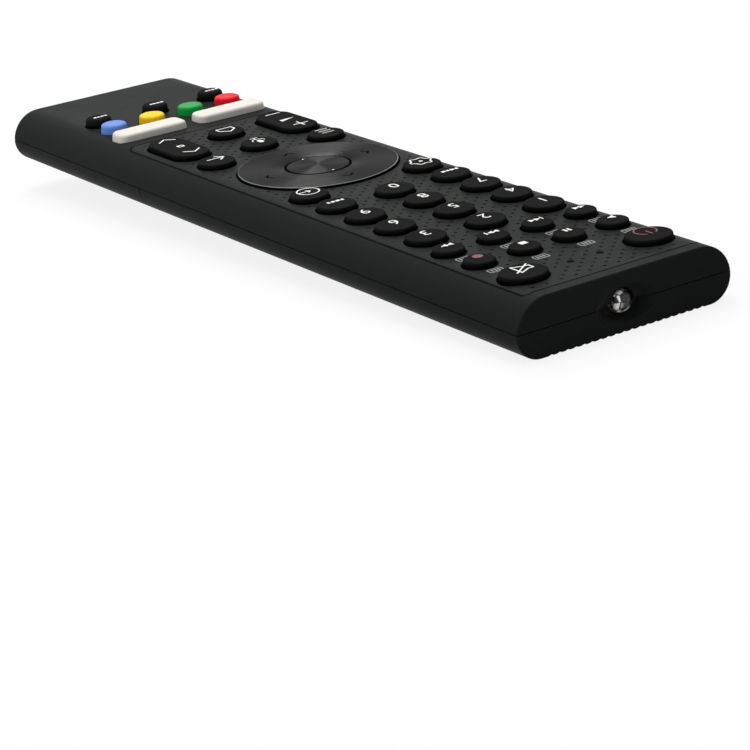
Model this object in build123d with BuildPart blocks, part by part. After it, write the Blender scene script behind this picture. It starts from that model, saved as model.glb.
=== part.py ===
from build123d import *
from math import atan2, cos, degrees, radians, sin, sqrt
import os

os.makedirs("parts", exist_ok=True)

# Frame: X across the keypad, Y towards the lamp end, Z up, millimetres.
# The origin is at mid length, on the flat under the battery hump.

# Overall body
body_length = 205.0
body_width = 49.1
body_depth = 11.7
parting_depth = 6.1
parting_gap = 0.2
top_corner_radius = 7.0
back_corner_radius = 5.1
roof_thickness = 1.7
case_wall = 1.4
ceiling_half_width = 20.9
ceiling_bevel_height = 2.3
end_edge_radius = 0.35

# Stack of parts under the keypad, from the front face down
panel_thickness = 0.8
layer_gap = 0.05
mat_thickness = 1.25
board_thickness = 0.8
tray_roof = 0.6
cell_diameter = 10.5
cell_length = 44.5
cell_play = 0.1
cover_floor = 0.9

# Inset face panel
panel_width = 40.3
panel_front_y = 99.45
panel_rear_y = -51.25
panel_front_corner_radius = 1.3
panel_rear_corner_radius = 2.1
panel_groove = 0.3

# Keys: shape of the caps, and how they sit in the case
key_rise = 1.15
key_draft = 0.2
key_edge_radius = 0.3
key_gap = 0.2
rocker_gap = 0.35
flange_width = 0.45
rocker_flange_width = 0.7
flange_thickness = 0.45
flange_drop = 0.1
well_gap = 0.1
plunger_radius = 2.2
plunger_length = 0.15
tail_key_rise = 1.95
tail_key_edge_radius = 0.7
bar_rise = 1.6
bar_edge_radius = 0.55
key_stem_drop = 0.2
rocker_flange_length = 4.0
rocker_flange_thickness = 0.25
rocker_plunger_place = 6.5

# Key sizes at the case surface, as half widths or radii
digit_radius = 4.25
media_radius = 3.32
power_half_width = 4.97
power_half_height = 4.5
colour_radius = 3.15
rocker_half_width = 4.4
rocker_length = 19.2
bar_width = 17.6
bar_height = 6.6
bar_corner_radius = 2.1

# Key places: columns across, rows along
digit_pitch_x = 14.0
digit_pitch_y = 10.68
digit_first_y = 59.2
media_inner_x = 5.17
media_outer_x = 15.57
media_rows_y = (79.1, 69.05)
power_x = 14.45
power_y = 91.35
side_key_x = 13.95
shortcut_y = 16.55
nav_y = -2.5
menu_y = -21.6
assistant_y = -27.05
home_y = -41.6
rocker_y = -38.3
bar_x = 10.35
bar_y = -58.75
colour_inner_x = 5.08
colour_outer_x = 15.02
colour_y = -67.1
tail_key_x = 14.9
tail_key_y = -75.1

# Navigation ring and its centre button
nav_radius = 17.3
nav_gap = 0.25
nav_bore_radius = 7.15
nav_rise = 0.5
nav_dish = 0.12
nav_plate = 1.1
nav_skirt = 0.7
nav_edge = 0.2
ok_radius = 6.95
ok_rise = 0.4
ok_flange_drop = 0.87
ok_flange_thickness = 0.4
ok_flange_radius = 7.6
carrier_inner_radius = 8.4
carrier_outer_radius = 10.4
carrier_thickness = 0.6
carrier_arm_width = 5.0
carrier_ridge_inset = 0.2
nav_plunger_place = 13.0
nav_plunger_radius = 1.6
pivot_ridge_width = 0.8

# Lamp at the front end
lamp_radius = 2.5
lamp_length = 8.6
lamp_flange_reach = 0.4
lamp_flange_thickness = 1.0
lamp_inset = 0.1
lamp_fit = 0.08
scoop_half_width = 7.0
scoop_half_height = 3.6
scoop_upper_depth = 1.1
scoop_lower_depth = 2.6
scoop_floor_half_width = 4.4
scoop_floor_half_height = 2.9
holder_half_width = 8.6
holder_length = 3.5
lead_size = 0.5
lead_pitch = 2.54
lead_bend_radius = 0.9
lead_run = 2.9
lead_end = 0.3

# Microphones
mic_x = 3.43
mic_y = 91.0
mic_hole_radius = 0.5
mic_width = 2.6
mic_length = 3.0
mic_height = 1.0
mic_port_radius = 0.3
mic_port_depth = 0.4

# Fluted back
flute_pitch = 1.83
flute_count = 20
hump_flute_count = 8
flute_depth = 0.3
flute_radius = 0.75

# Battery cover and bay
seam_y = -39.0
hump_shoulder_spread = 6.75
hump_floor_inset = 0.25
hump_front_y = -35.5
hump_rear_y = -96.1
hump_front_ramp = 9.0
hump_rear_ramp = 5.9
hump_edge_radius = 2.0
hump_reach = 4.0
cell_gap = 0.3
bay_front_y = -42.5
bay_rear_y = -93.5
tray_rear_y = -97.5
bay_wall = 1.0
contact_thickness = 0.4
contact_width = 8.4
contact_height = 7.4
spring_wire_radius = 0.3
spring_radius = 3.0
spring_top_radius = 2.0
spring_turns = 4
rail_height = 0.8
rail_reach = 1.2
rail_drop = 2.3
rail_gap = 0.15
rib_height = 0.6
rib_gap = 0.5
tongue_width = 3.0
tongue_reach = 2.2
tongue_thickness = 0.8
tongue_root = 3.2
tongue_x = 17.7
seam_wall_y = -35.5
lip_outer_x = 22.5
lip_thickness = 0.8
lip_height = 1.1
lip_front_y = 94.5
lip_rear_y = -34.0
ledge_height = 0.8

# Board, pins and screws
board_half_width = 20.6
board_corner_radius = 2.0
board_end_gap = 2.0
board_notch_gap = 0.4
board_front_gap = 3.9
mat_half_width = 20.6
mat_margin = 0.5
mat_notch_half_width = 7.2
mat_notch_y = 84.4
pin_radius = 1.0
pin_clearance = 0.15
pin_places = ((0, 86.2), (0, -34.3))
screw_inset = 0.075
screw_y = -90.0
screw_radius = 1.0
screw_head_radius = 2.2
screw_head_height = 1.5
screw_fit = 0.05
screw_bite = 0.3
screw_slot_length = 2.4
screw_slot_width = 0.5
screw_slot_depth = 0.8
boss_radius = 2.1
post_radius = 1.5
post_x = 18.0
post_places_y = (66.0, 22.0, -24.0)

# Levels worked out from the stack
half_width = body_width / 2
half_length = body_length / 2
cell_z = cover_floor + cell_play + cell_diameter / 2
cell_spacing = cell_diameter + cell_gap
bay_half_width = cell_spacing / 2 + cell_diameter / 2 + cell_play
hump_floor_half_width = bay_half_width - hump_floor_inset
hump_shoulder_half_width = bay_half_width + hump_shoulder_spread
tray_half_width = board_half_width + 0.4
screw_x = (bay_half_width + tray_half_width) / 2 - screw_inset
tray_roof_z = cell_z + cell_diameter / 2 + cell_play
board_z = tray_roof_z + tray_roof + layer_gap
mat_z = board_z + board_thickness + layer_gap
case_ceiling_z = mat_z + mat_thickness + layer_gap
top_z = case_ceiling_z + roof_thickness
back_z = top_z - body_depth
parting_z = top_z - parting_depth
panel_z = top_z - panel_thickness
board_top_z = board_z + board_thickness
flange_top_z = case_ceiling_z - flange_drop
flange_z = flange_top_z - flange_thickness
plunger_z = flange_z - plunger_length
front_edge_z = parting_z + parting_gap / 2
rear_edge_z = parting_z - parting_gap / 2
lamp_z = parting_z
lamp_flange_radius = lamp_radius + lamp_flange_reach
lamp_tip_y = half_length - lamp_inset
lamp_rear_y = lamp_tip_y - lamp_length
board_front_y = half_length - board_front_gap
nav_bottom_z = top_z + nav_rise - nav_dish - nav_plate
carrier_z = nav_bottom_z - 2 * carrier_thickness

# The keypad: label, outline, place and rise of every cap
left, right = -1, 1


def round_outline(radius):
    return ("round", radius, radius, radius)


digit_outline = round_outline(digit_radius)
media_outline = round_outline(media_radius)
colour_outline = round_outline(colour_radius)
power_outline = ("oval", power_half_width, power_half_height, 0)
rocker_outline = ("block", rocker_half_width, rocker_length / 2, rocker_half_width - 0.1)
bar_outline = ("block", bar_width / 2, bar_height / 2, bar_corner_radius)

keys = []


def place(label, outline, x, y, rise=key_rise, edge=key_edge_radius):
    keys.append({"label": label, "outline": outline, "x": x, "y": y, "rise": rise, "edge": edge})


place("power_key", power_outline, left * power_x, power_y)
place("mute_key", power_outline, right * power_x, power_y)
media_columns = (-media_outer_x, -media_inner_x, media_inner_x, media_outer_x)
media_names = (("play_key", "pause_key", "stop_key", "record_key"),
               ("rewind_key", "previous_key", "next_key", "forward_key"))
for names, row_y in zip(media_names, media_rows_y):
    for name, column_x in zip(names, media_columns):
        place(name, media_outline, column_x, row_y)
digit_names = (("digit_1_key", "digit_2_key", "digit_3_key"),
               ("digit_4_key", "digit_5_key", "digit_6_key"),
               ("digit_7_key", "digit_8_key", "digit_9_key"),
               ("info_key", "digit_0_key", "text_key"))
for row, names in enumerate(digit_names):
    for column, name in enumerate(names):
        place(name, digit_outline, (column - 1) * digit_pitch_x, digit_first_y - row * digit_pitch_y)
place("settings_key", digit_outline, left * side_key_x, shortcut_y)
place("source_key", digit_outline, right * side_key_x, shortcut_y)
place("menu_key", digit_outline, left * side_key_x, menu_y)
place("back_key", digit_outline, right * side_key_x, menu_y)
place("voice_key", digit_outline, 0, assistant_y)
place("home_key", digit_outline, 0, home_y)
place("shortcut_bar_left", bar_outline, left * bar_x, bar_y, bar_rise, bar_edge_radius)
place("shortcut_bar_right", bar_outline, right * bar_x, bar_y, bar_rise, bar_edge_radius)
colour_columns = (-colour_outer_x, -colour_inner_x, colour_inner_x, colour_outer_x)
for name, column_x in zip(("red_key", "green_key", "yellow_key", "blue_key"), colour_columns):
    place(name, colour_outline, column_x, colour_y, tail_key_rise, tail_key_edge_radius)
for name, side in (("tail_key_left", left), ("tail_key_centre", 0), ("tail_key_right", right)):
    place(name, colour_outline, side * tail_key_x, tail_key_y, tail_key_rise, tail_key_edge_radius)
rockers = [("volume_rocker", left), ("channel_rocker", right)]
rocker_places = [{"outline": rocker_outline, "x": side * side_key_x, "y": rocker_y}
                 for label, side in rockers]


def draw_outline(key, grow):
    """Adds one key's outline, grown by a margin, to the sketch that is open."""
    kind, half_x, half_y, corner = key["outline"]
    with Locations((key["x"], key["y"])):
        if kind == "round":
            Circle(half_x + grow)
        elif kind == "oval":
            Ellipse(half_x + grow, half_y + grow)
        else:
            RectangleRounded(2 * (half_x + grow), 2 * (half_y + grow), corner + grow)


def save(builder, label):
    builder.part.label = label
    export_step(builder.part, f"parts/{label}.step")


def draw_arc(centre, radius, start_angle, end_angle):
    """An arc in the open line, from one angle to another about a centre."""
    points = []
    for angle in (start_angle, (start_angle + end_angle) / 2, end_angle):
        points.append((centre[0] + radius * cos(radians(angle)),
                       centre[1] + radius * sin(radians(angle))))
    ThreePointArc(*points)
    return points[0], points[-1]


def section_plane(y):
    """A plane across the body at y, whose local axes are X and Z, facing -Y."""
    return Plane(origin=(0, y, 0), x_dir=(1, 0, 0), z_dir=(0, -1, 0))


def upper_section():
    """Section of the front case's outside, closed along its lower edge."""
    centre_z = top_z - top_corner_radius
    centre_x = half_width - sqrt(top_corner_radius ** 2 - (centre_z - parting_z) ** 2)
    rise = front_edge_z - centre_z
    angle = degrees(atan2(rise, sqrt(top_corner_radius ** 2 - rise ** 2)))
    with BuildSketch() as section:
        with BuildLine():
            start, crown = draw_arc((centre_x, centre_z), top_corner_radius, angle, 90)
            left_crown, left_start = draw_arc((-centre_x, centre_z), top_corner_radius, 90, 180 - angle)
            Line(crown, left_crown)
            Line(left_start, start)
        make_face()
    return section.sketch


def lower_section(inset):
    """Section of the rear case, inset from its outside, closed along its upper edge."""
    radius = back_corner_radius - inset
    centre_x = half_width - back_corner_radius
    centre_z = back_z + back_corner_radius
    with BuildSketch() as section:
        with BuildLine():
            right_top, right_floor = draw_arc((centre_x, centre_z), radius, 0, -90)
            left_floor, left_top = draw_arc((-centre_x, centre_z), radius, 270, 180)
            Polyline(right_top, (right_top[0], rear_edge_z), (left_top[0], rear_edge_z), left_top)
            Line(right_floor, left_floor)
        make_face()
    return section.sketch


def hump_section(inset):
    """Section of the battery hump, inset from its outside, reaching up into the case."""
    reach_z = back_z + hump_reach
    with BuildSketch() as section:
        with BuildLine():
            Polyline((-hump_floor_half_width, 0), (hump_floor_half_width, 0),
                     (hump_shoulder_half_width, back_z), (hump_shoulder_half_width, reach_z),
                     (-hump_shoulder_half_width, reach_z), (-hump_shoulder_half_width, back_z),
                     close=True)
        make_face()
        fillet(section.vertices().group_by(Axis.Y)[0], radius=hump_edge_radius)
        if inset:
            offset(amount=-inset, kind=Kind.INTERSECTION)
    return section.sketch


def hump_solid(inset, top, front_y, front_ramp, rear_y, rear_ramp):
    """A length of the hump: its section, trimmed to a side view with a ramp at each end."""
    with BuildPart() as block:
        with BuildSketch(section_plane(front_y + front_ramp)):
            add(hump_section(inset))
        extrude(amount=front_y + front_ramp - rear_y + rear_ramp)
        with BuildSketch(Plane.YZ.offset(-half_width)):
            with BuildLine():
                Polyline((front_y + front_ramp, top), (front_y + front_ramp, back_z), (front_y, 0),
                         (rear_y, 0), (rear_y - rear_ramp, back_z), (rear_y - rear_ramp, top),
                         close=True)
            make_face()
            if inset:
                offset(amount=-inset, kind=Kind.INTERSECTION)
        extrude(amount=body_width, mode=Mode.INTERSECT)
    return block.part


def scoop_cut(depth):
    """The dished recess round the lamp, narrowing towards its floor."""
    with BuildPart() as scoop:
        with BuildSketch(section_plane(half_length)):
            with Locations((0, lamp_z)):
                Ellipse(scoop_half_width, scoop_half_height)
        with BuildSketch(section_plane(half_length - depth)):
            with Locations((0, lamp_z)):
                Ellipse(scoop_floor_half_width, scoop_floor_half_height)
        loft(ruled=True)
    return scoop.part


# Front case: a long shell with a keypad roof, open below
holder_y = half_length - case_wall - holder_length / 2
panel_length = panel_front_y - panel_rear_y
panel_middle_y = (panel_front_y + panel_rear_y) / 2
boss_bottom_z = board_z
screw_places = ((-screw_x, screw_y), (screw_x, screw_y))
mic_places = ((-mic_x, mic_y), (mic_x, mic_y))
upper_scoop = scoop_cut(scoop_upper_depth)
inner_half_width = half_width - case_wall
with BuildPart() as front_case:
    with BuildSketch(section_plane(half_length)):
        add(upper_section())
    extrude(amount=body_length)
    end_rims = front_case.faces().filter_by(Axis.Y).edges().filter_by_position(
        Axis.Z, front_edge_z + 0.1, top_z + 0.1)
    fillet(end_rims, radius=end_edge_radius)
    with BuildSketch(section_plane(half_length - case_wall)):
        with BuildLine():
            bevel_z = case_ceiling_z - ceiling_bevel_height
            Polyline((ceiling_half_width, case_ceiling_z), (inner_half_width, bevel_z),
                     (inner_half_width, front_edge_z), (-inner_half_width, front_edge_z),
                     (-inner_half_width, bevel_z), (-ceiling_half_width, case_ceiling_z), close=True)
        make_face()
    extrude(amount=body_length - 2 * case_wall, mode=Mode.SUBTRACT)
    # Lamp holder behind the end wall
    holder_height = case_ceiling_z - front_edge_z
    with Locations((0, holder_y, front_edge_z + holder_height / 2)):
        Box(2 * holder_half_width, holder_length, holder_height)
    # Screw bosses and the board's locating pins
    with BuildSketch(Plane.XY.offset(boss_bottom_z)):
        with Locations(*screw_places):
            Circle(boss_radius)
        with Locations(*pin_places):
            Circle(pin_radius)
    extrude(amount=case_ceiling_z - boss_bottom_z)
    # Recess for the face panel
    with BuildSketch(Plane.XY.offset(panel_z)) as recess:
        with Locations((0, panel_middle_y)):
            Rectangle(panel_width + 2 * panel_groove, panel_length + 2 * panel_groove)
        fillet(recess.vertices().group_by(Axis.Y)[-1], radius=panel_front_corner_radius + panel_groove)
        fillet(recess.vertices().group_by(Axis.Y)[0], radius=panel_rear_corner_radius + panel_groove)
    extrude(amount=panel_thickness, mode=Mode.SUBTRACT)
    # Openings for the keys, the ring and the microphones
    with BuildSketch(Plane.XY.offset(case_ceiling_z)):
        for key in keys:
            draw_outline(key, key_gap)
        for rocker in rocker_places:
            draw_outline(rocker, rocker_gap)
        with Locations((0, nav_y)):
            Circle(nav_radius + nav_gap)
        with Locations(*mic_places):
            Circle(mic_hole_radius)
    extrude(amount=roof_thickness, mode=Mode.SUBTRACT)
    # Lamp recess and bore, and blind holes for the case screws
    add(upper_scoop, mode=Mode.SUBTRACT)
    with BuildSketch(section_plane(half_length)):
        with Locations((0, lamp_z)):
            Circle(lamp_radius + lamp_fit)
    extrude(amount=lamp_length, mode=Mode.SUBTRACT)
    with BuildSketch(Plane.XY.offset(boss_bottom_z)):
        with Locations(*screw_places):
            Circle(screw_radius + screw_fit)
    extrude(amount=case_ceiling_z - boss_bottom_z + roof_thickness / 2, mode=Mode.SUBTRACT)
save(front_case, "front_case")

# Face panel: a plate that follows the case's crown, with the same openings
with BuildPart() as face_panel:
    with BuildSketch(Plane.XY.offset(panel_z)) as plate:
        with Locations((0, panel_middle_y)):
            Rectangle(panel_width, panel_length)
        fillet(plate.vertices().group_by(Axis.Y)[-1], radius=panel_front_corner_radius)
        fillet(plate.vertices().group_by(Axis.Y)[0], radius=panel_rear_corner_radius)
    extrude(amount=2 * panel_thickness)
    with BuildSketch(section_plane(half_length)):
        add(upper_section())
    extrude(amount=body_length, mode=Mode.INTERSECT)
    with BuildSketch(Plane.XY.offset(panel_z)):
        for key in keys:
            if key["y"] > panel_rear_y:
                draw_outline(key, key_gap)
        for rocker in rocker_places:
            draw_outline(rocker, rocker_gap)
        with Locations((0, nav_y)):
            Circle(nav_radius + nav_gap)
        with Locations(*mic_places):
            Circle(mic_hole_radius)
    extrude(amount=panel_thickness, mode=Mode.SUBTRACT)
save(face_panel, "face_panel")

# Rear case: fluted shell in front, hollow hump behind it, and the cell tray
rear_front_length = half_length - seam_y - parting_gap / 2
case_seam_y = seam_y + parting_gap / 2
cover_seam_y = seam_y - parting_gap / 2
floor_z = back_z + case_wall
hump_join_z = back_z + case_wall / 2
lower_scoop = scoop_cut(scoop_lower_depth)
front_hump = hump_solid(0, hump_join_z, hump_front_y, hump_front_ramp, case_seam_y, 0)
front_hollow = hump_solid(cover_floor, back_z + hump_reach, hump_front_y, hump_front_ramp,
                          case_seam_y - hump_reach, 0)
with BuildPart() as rear_case:
    with BuildSketch(section_plane(half_length)):
        add(lower_section(0))
    extrude(amount=rear_front_length)
    end_rims = rear_case.faces().sort_by(Axis.Y)[-1].edges().filter_by_position(
        Axis.Z, back_z - 0.1, rear_edge_z - 0.1)
    fillet(end_rims, radius=end_edge_radius)
    with BuildSketch(section_plane(half_length)):
        with Locations((0, back_z + flute_depth - flute_radius)):
            with GridLocations(flute_pitch, flute_pitch, flute_count, 1):
                Circle(flute_radius)
    extrude(amount=rear_front_length, mode=Mode.SUBTRACT)
    with BuildSketch(section_plane(half_length - case_wall)):
        add(lower_section(case_wall))
    extrude(amount=rear_front_length - case_wall, mode=Mode.SUBTRACT)
    add(front_hump)
    add(front_hollow, mode=Mode.SUBTRACT)
    with BuildSketch(section_plane(hump_front_y)):
        with Locations((0, flute_depth - flute_radius)):
            with GridLocations(flute_pitch, flute_pitch, hump_flute_count, 1):
                Circle(flute_radius)
    extrude(amount=hump_front_y - case_seam_y, mode=Mode.SUBTRACT)
    # Lips that stand inside the front case, on ledges of the side walls
    lip_length = lip_front_y - lip_rear_y
    lip_middle_y = (lip_front_y + lip_rear_y) / 2
    ledge_inner = lip_outer_x - lip_thickness
    ledge_width = inner_half_width + case_wall / 4 - ledge_inner
    for side in (left, right):
        with Locations((side * (lip_outer_x - lip_thickness / 2), lip_middle_y, rear_edge_z + lip_height / 2)):
            Box(lip_thickness, lip_length, lip_height)
        with Locations((side * (ledge_inner + ledge_width / 2), lip_middle_y,
                        rear_edge_z - ledge_height / 2)):
            Box(ledge_width, lip_length, ledge_height)
    # Lamp holder behind the end wall
    lower_holder_height = rear_edge_z - floor_z
    with Locations((0, holder_y, rear_edge_z - lower_holder_height / 2)):
        Box(2 * holder_half_width, holder_length, lower_holder_height)
    add(lower_scoop, mode=Mode.SUBTRACT)
    with BuildSketch(section_plane(half_length)):
        with Locations((0, lamp_z)):
            Circle(lamp_radius + lamp_fit)
    extrude(amount=lamp_length, mode=Mode.SUBTRACT)
    # Posts under the board
    with BuildSketch(Plane.XY.offset(floor_z)):
        for post_y in post_places_y:
            with Locations((-post_x, post_y), (post_x, post_y)):
                Circle(post_radius)
    extrude(amount=tray_roof_z + tray_roof - floor_z)
    # Wall across the case in front of the seam, down to the hump's floor
    with Locations((0, seam_wall_y, (hump_join_z + tray_roof_z) / 2)):
        Box(2 * tray_half_width, bay_wall, tray_roof_z - hump_join_z)
    with BuildSketch(section_plane(seam_wall_y + bay_wall / 2)):
        add(hump_section(cover_floor / 2))
    extrude(amount=bay_wall)
    # Tray: a roof over the cells, with rails along both sides and cell cheeks
    roof_front_y = seam_wall_y + bay_wall / 2
    roof_length = roof_front_y - tray_rear_y
    with Locations((0, tray_rear_y + roof_length / 2, tray_roof_z + tray_roof / 2)):
        Box(2 * tray_half_width, roof_length, tray_roof)
    wall_bottom_z = parting_z - rail_drop
    wall_height = tray_roof_z - wall_bottom_z
    wall_length = seam_wall_y - tray_rear_y
    cheek_length = bay_front_y - bay_rear_y
    cheek_height = tray_roof_z - cell_z
    for side in (left, right):
        with Locations((side * (tray_half_width - bay_wall / 2), tray_rear_y + wall_length / 2,
                        wall_bottom_z + wall_height / 2)):
            Box(bay_wall, wall_length, wall_height)
        with Locations((side * (tray_half_width + rail_reach / 2), tray_rear_y + wall_length / 2,
                        wall_bottom_z + rail_height / 2)):
            Box(rail_reach, wall_length, rail_height)
        with Locations((side * (bay_half_width + bay_wall / 2), bay_rear_y + cheek_length / 2,
                        cell_z + cheek_height / 2)):
            Box(bay_wall, cheek_length, cheek_height)
    # Bulkheads at both ends of the cell bay
    bay_bottom_z = cell_z - contact_height / 2
    for wall_y in (bay_front_y + bay_wall / 2, bay_rear_y + bay_wall / 2):
        with Locations((0, wall_y, (bay_bottom_z + tray_roof_z) / 2)):
            Box(2 * bay_half_width + 2 * bay_wall, bay_wall, tray_roof_z - bay_bottom_z)
    # Holes for the case screws
    with BuildSketch(Plane.XY.offset(tray_roof_z)):
        with Locations(*screw_places):
            Circle(screw_radius + 2 * screw_fit)
    extrude(amount=tray_roof, mode=Mode.SUBTRACT)
save(rear_case, "rear_case")

# Battery cover: the rear end of the back, with the hump over the cells
cover_length = half_length + cover_seam_y
rear_hump = hump_solid(0, hump_join_z, cover_seam_y, 0, hump_rear_y, hump_rear_ramp)
rear_hollow = hump_solid(cover_floor, back_z + hump_reach, cover_seam_y + hump_reach, 0,
                         hump_rear_y, hump_rear_ramp)
with BuildPart() as battery_cover:
    with BuildSketch(section_plane(cover_seam_y)):
        add(lower_section(0))
    extrude(amount=cover_length)
    end_rims = battery_cover.faces().sort_by(Axis.Y)[0].edges().filter_by_position(
        Axis.Z, back_z - 0.1, rear_edge_z - 0.1)
    fillet(end_rims, radius=end_edge_radius)
    with BuildSketch(section_plane(cover_seam_y)):
        add(lower_section(case_wall))
    extrude(amount=cover_length - case_wall, mode=Mode.SUBTRACT)
    add(rear_hump)
    add(rear_hollow, mode=Mode.SUBTRACT)
    with BuildSketch(section_plane(cover_seam_y)):
        with Locations((0, flute_depth - flute_radius)):
            with GridLocations(flute_pitch, flute_pitch, hump_flute_count, 1):
                Circle(flute_radius)
    extrude(amount=cover_seam_y - hump_rear_y, mode=Mode.SUBTRACT)
    # Ribs that hang on the tray's rails
    rib_inner = tray_half_width + rib_gap
    rib_width = inner_half_width + case_wall / 4 - rib_inner
    rib_z = wall_bottom_z + rail_height + rail_gap + rib_height / 2
    rib_front_y = cover_seam_y - 2.0
    rib_length = rib_front_y - tray_rear_y
    # Tongues that slide in over the rear case's floor
    tongue_z = floor_z + cell_play + tongue_thickness / 2
    tongue_length = tongue_reach + tongue_root
    for side in (left, right):
        with Locations((side * (rib_inner + rib_width / 2), rib_front_y - rib_length / 2, rib_z)):
            Box(rib_width, rib_length, rib_height)
        with Locations((side * tongue_x, seam_y + tongue_reach - tongue_length / 2, tongue_z)):
            Box(tongue_width, tongue_length, tongue_thickness)
        with Locations((side * tongue_x, cover_seam_y - tongue_root / 2 + parting_gap / 2,
                        floor_z + cell_play / 2)):
            Box(tongue_width, tongue_root - parting_gap, 3 * cell_play)
save(battery_cover, "battery_cover")

# Keypad mat: a rubber sheet with one well round each key
mat_front_y = power_y + power_half_height + flange_width + well_gap + mat_margin
mat_rear_y = tail_key_y - colour_radius - flange_width - well_gap - mat_margin
with BuildPart() as keypad_mat:
    with BuildSketch(Plane.XY.offset(mat_z)):
        with Locations((0, (mat_front_y + mat_rear_y) / 2)):
            RectangleRounded(2 * mat_half_width, mat_front_y - mat_rear_y, board_corner_radius)
    extrude(amount=mat_thickness)
    with BuildSketch(Plane.XY.offset(mat_z)):
        with Locations((0, mat_front_y)):
            Rectangle(2 * mat_notch_half_width, 2 * (mat_front_y - mat_notch_y))
        for key in keys:
            draw_outline(key, flange_width + well_gap)
        for rocker in rocker_places:
            draw_outline(rocker, rocker_flange_width + well_gap)
        with Locations((0, nav_y)):
            Circle(nav_radius + nav_gap + well_gap)
        with Locations(*pin_places):
            Circle(pin_radius + pin_clearance)
    extrude(amount=mat_thickness, mode=Mode.SUBTRACT)
save(keypad_mat, "keypad_mat")

# Circuit board, notched round the lamp and its holder
board_rear_y = -half_length + case_wall + board_end_gap
lead_hole_y = lamp_rear_y - lead_run
holder_rear_y = holder_y - holder_length / 2
with BuildPart() as circuit_board:
    with BuildSketch(Plane.XY.offset(board_z)):
        with Locations((0, (board_front_y + board_rear_y) / 2)):
            RectangleRounded(2 * board_half_width, board_front_y - board_rear_y, board_corner_radius)
    extrude(amount=board_thickness)
    with BuildSketch(Plane.XY.offset(board_z)):
        with Locations((0, board_front_y)):
            Rectangle(2 * (lamp_flange_radius + board_notch_gap),
                      2 * (board_front_y - lamp_rear_y + board_notch_gap))
            Rectangle(2 * (holder_half_width + board_notch_gap),
                      2 * (board_front_y - holder_rear_y + board_notch_gap))
        with Locations(*pin_places):
            Circle(pin_radius + pin_clearance)
        with Locations(*screw_places):
            Circle(boss_radius + pin_clearance)
        with Locations((-lead_pitch / 2, lead_hole_y), (lead_pitch / 2, lead_hole_y)):
            Circle(lead_size)
    extrude(amount=board_thickness, mode=Mode.SUBTRACT)
save(circuit_board, "circuit_board")

# Key caps: plunger, flange, stem and drafted cap, one node each
stem_top_z = top_z - key_stem_drop
for key in keys:
    cap_height = key["rise"] + key_stem_drop
    with BuildPart() as key_cap:
        with BuildSketch(Plane.XY.offset(plunger_z)):
            with Locations((key["x"], key["y"])):
                Circle(plunger_radius)
        extrude(amount=plunger_length)
        with BuildSketch(Plane.XY.offset(flange_z)):
            draw_outline(key, flange_width)
        extrude(amount=flange_thickness)
        with BuildSketch(Plane.XY.offset(flange_top_z)):
            draw_outline(key, 0)
        extrude(amount=stem_top_z - flange_top_z)
        with BuildSketch(Plane.XY.offset(stem_top_z)):
            draw_outline(key, 0)
        extrude(amount=cap_height, taper=degrees(atan2(key_draft, cap_height)))
        fillet(key_cap.faces().sort_by(Axis.Z)[-1].edges(), radius=key["edge"])
    save(key_cap, key["label"])

# Rockers: long caps on a cross ridge, with a plunger at each end
rocker_cap_height = key_rise + key_stem_drop
ridge_bottom_z = board_top_z + layer_gap
for (label, side), rocker in zip(rockers, rocker_places):
    with BuildPart() as rocker_cap:
        with BuildSketch(Plane.XY.offset(flange_z)):
            draw_outline(rocker, 0)
        extrude(amount=stem_top_z - flange_z)
        with BuildSketch(Plane.XY.offset(stem_top_z)):
            draw_outline(rocker, 0)
        extrude(amount=rocker_cap_height, taper=degrees(atan2(key_draft, rocker_cap_height)))
        fillet(rocker_cap.faces().sort_by(Axis.Z)[-1].edges(), radius=key_edge_radius)
        with Locations((rocker["x"], rocker["y"], flange_z + rocker_flange_thickness / 2)):
            Box(2 * (rocker_half_width + rocker_flange_width), rocker_flange_length,
                rocker_flange_thickness)
        with BuildSketch(Plane.XY.offset(plunger_z)):
            with Locations((rocker["x"], rocker["y"] - rocker_plunger_place),
                           (rocker["x"], rocker["y"] + rocker_plunger_place)):
                Circle(plunger_radius)
        extrude(amount=plunger_length)
        with Locations((rocker["x"], rocker["y"], (ridge_bottom_z + flange_z) / 2)):
            Box(2 * plunger_radius, pivot_ridge_width, flange_z - ridge_bottom_z)
    save(rocker_cap, label)

# Navigation ring: a dished annulus with a skirt, turned about its axis
nav_axis = Axis((0, nav_y, 0), (0, 0, 1))
with BuildPart() as nav_ring:
    with BuildSketch(section_plane(nav_y)):
        with BuildLine():
            rim_z = top_z + nav_rise
            Polyline((nav_bore_radius, rim_z - nav_dish), (nav_radius - nav_edge, rim_z),
                     (nav_radius, rim_z - nav_edge), (nav_radius, nav_bottom_z - nav_skirt),
                     (nav_radius - nav_skirt, nav_bottom_z - nav_skirt),
                     (nav_radius - nav_skirt, nav_bottom_z), (nav_bore_radius, nav_bottom_z),
                     close=True)
        make_face()
    revolve(axis=nav_axis)
    with BuildSketch(Plane.XY.offset(plunger_z)):
        with Locations((-nav_plunger_place, nav_y), (nav_plunger_place, nav_y)):
            Circle(nav_plunger_radius)
    extrude(amount=nav_bottom_z - plunger_z)
save(nav_ring, "nav_ring")

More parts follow.
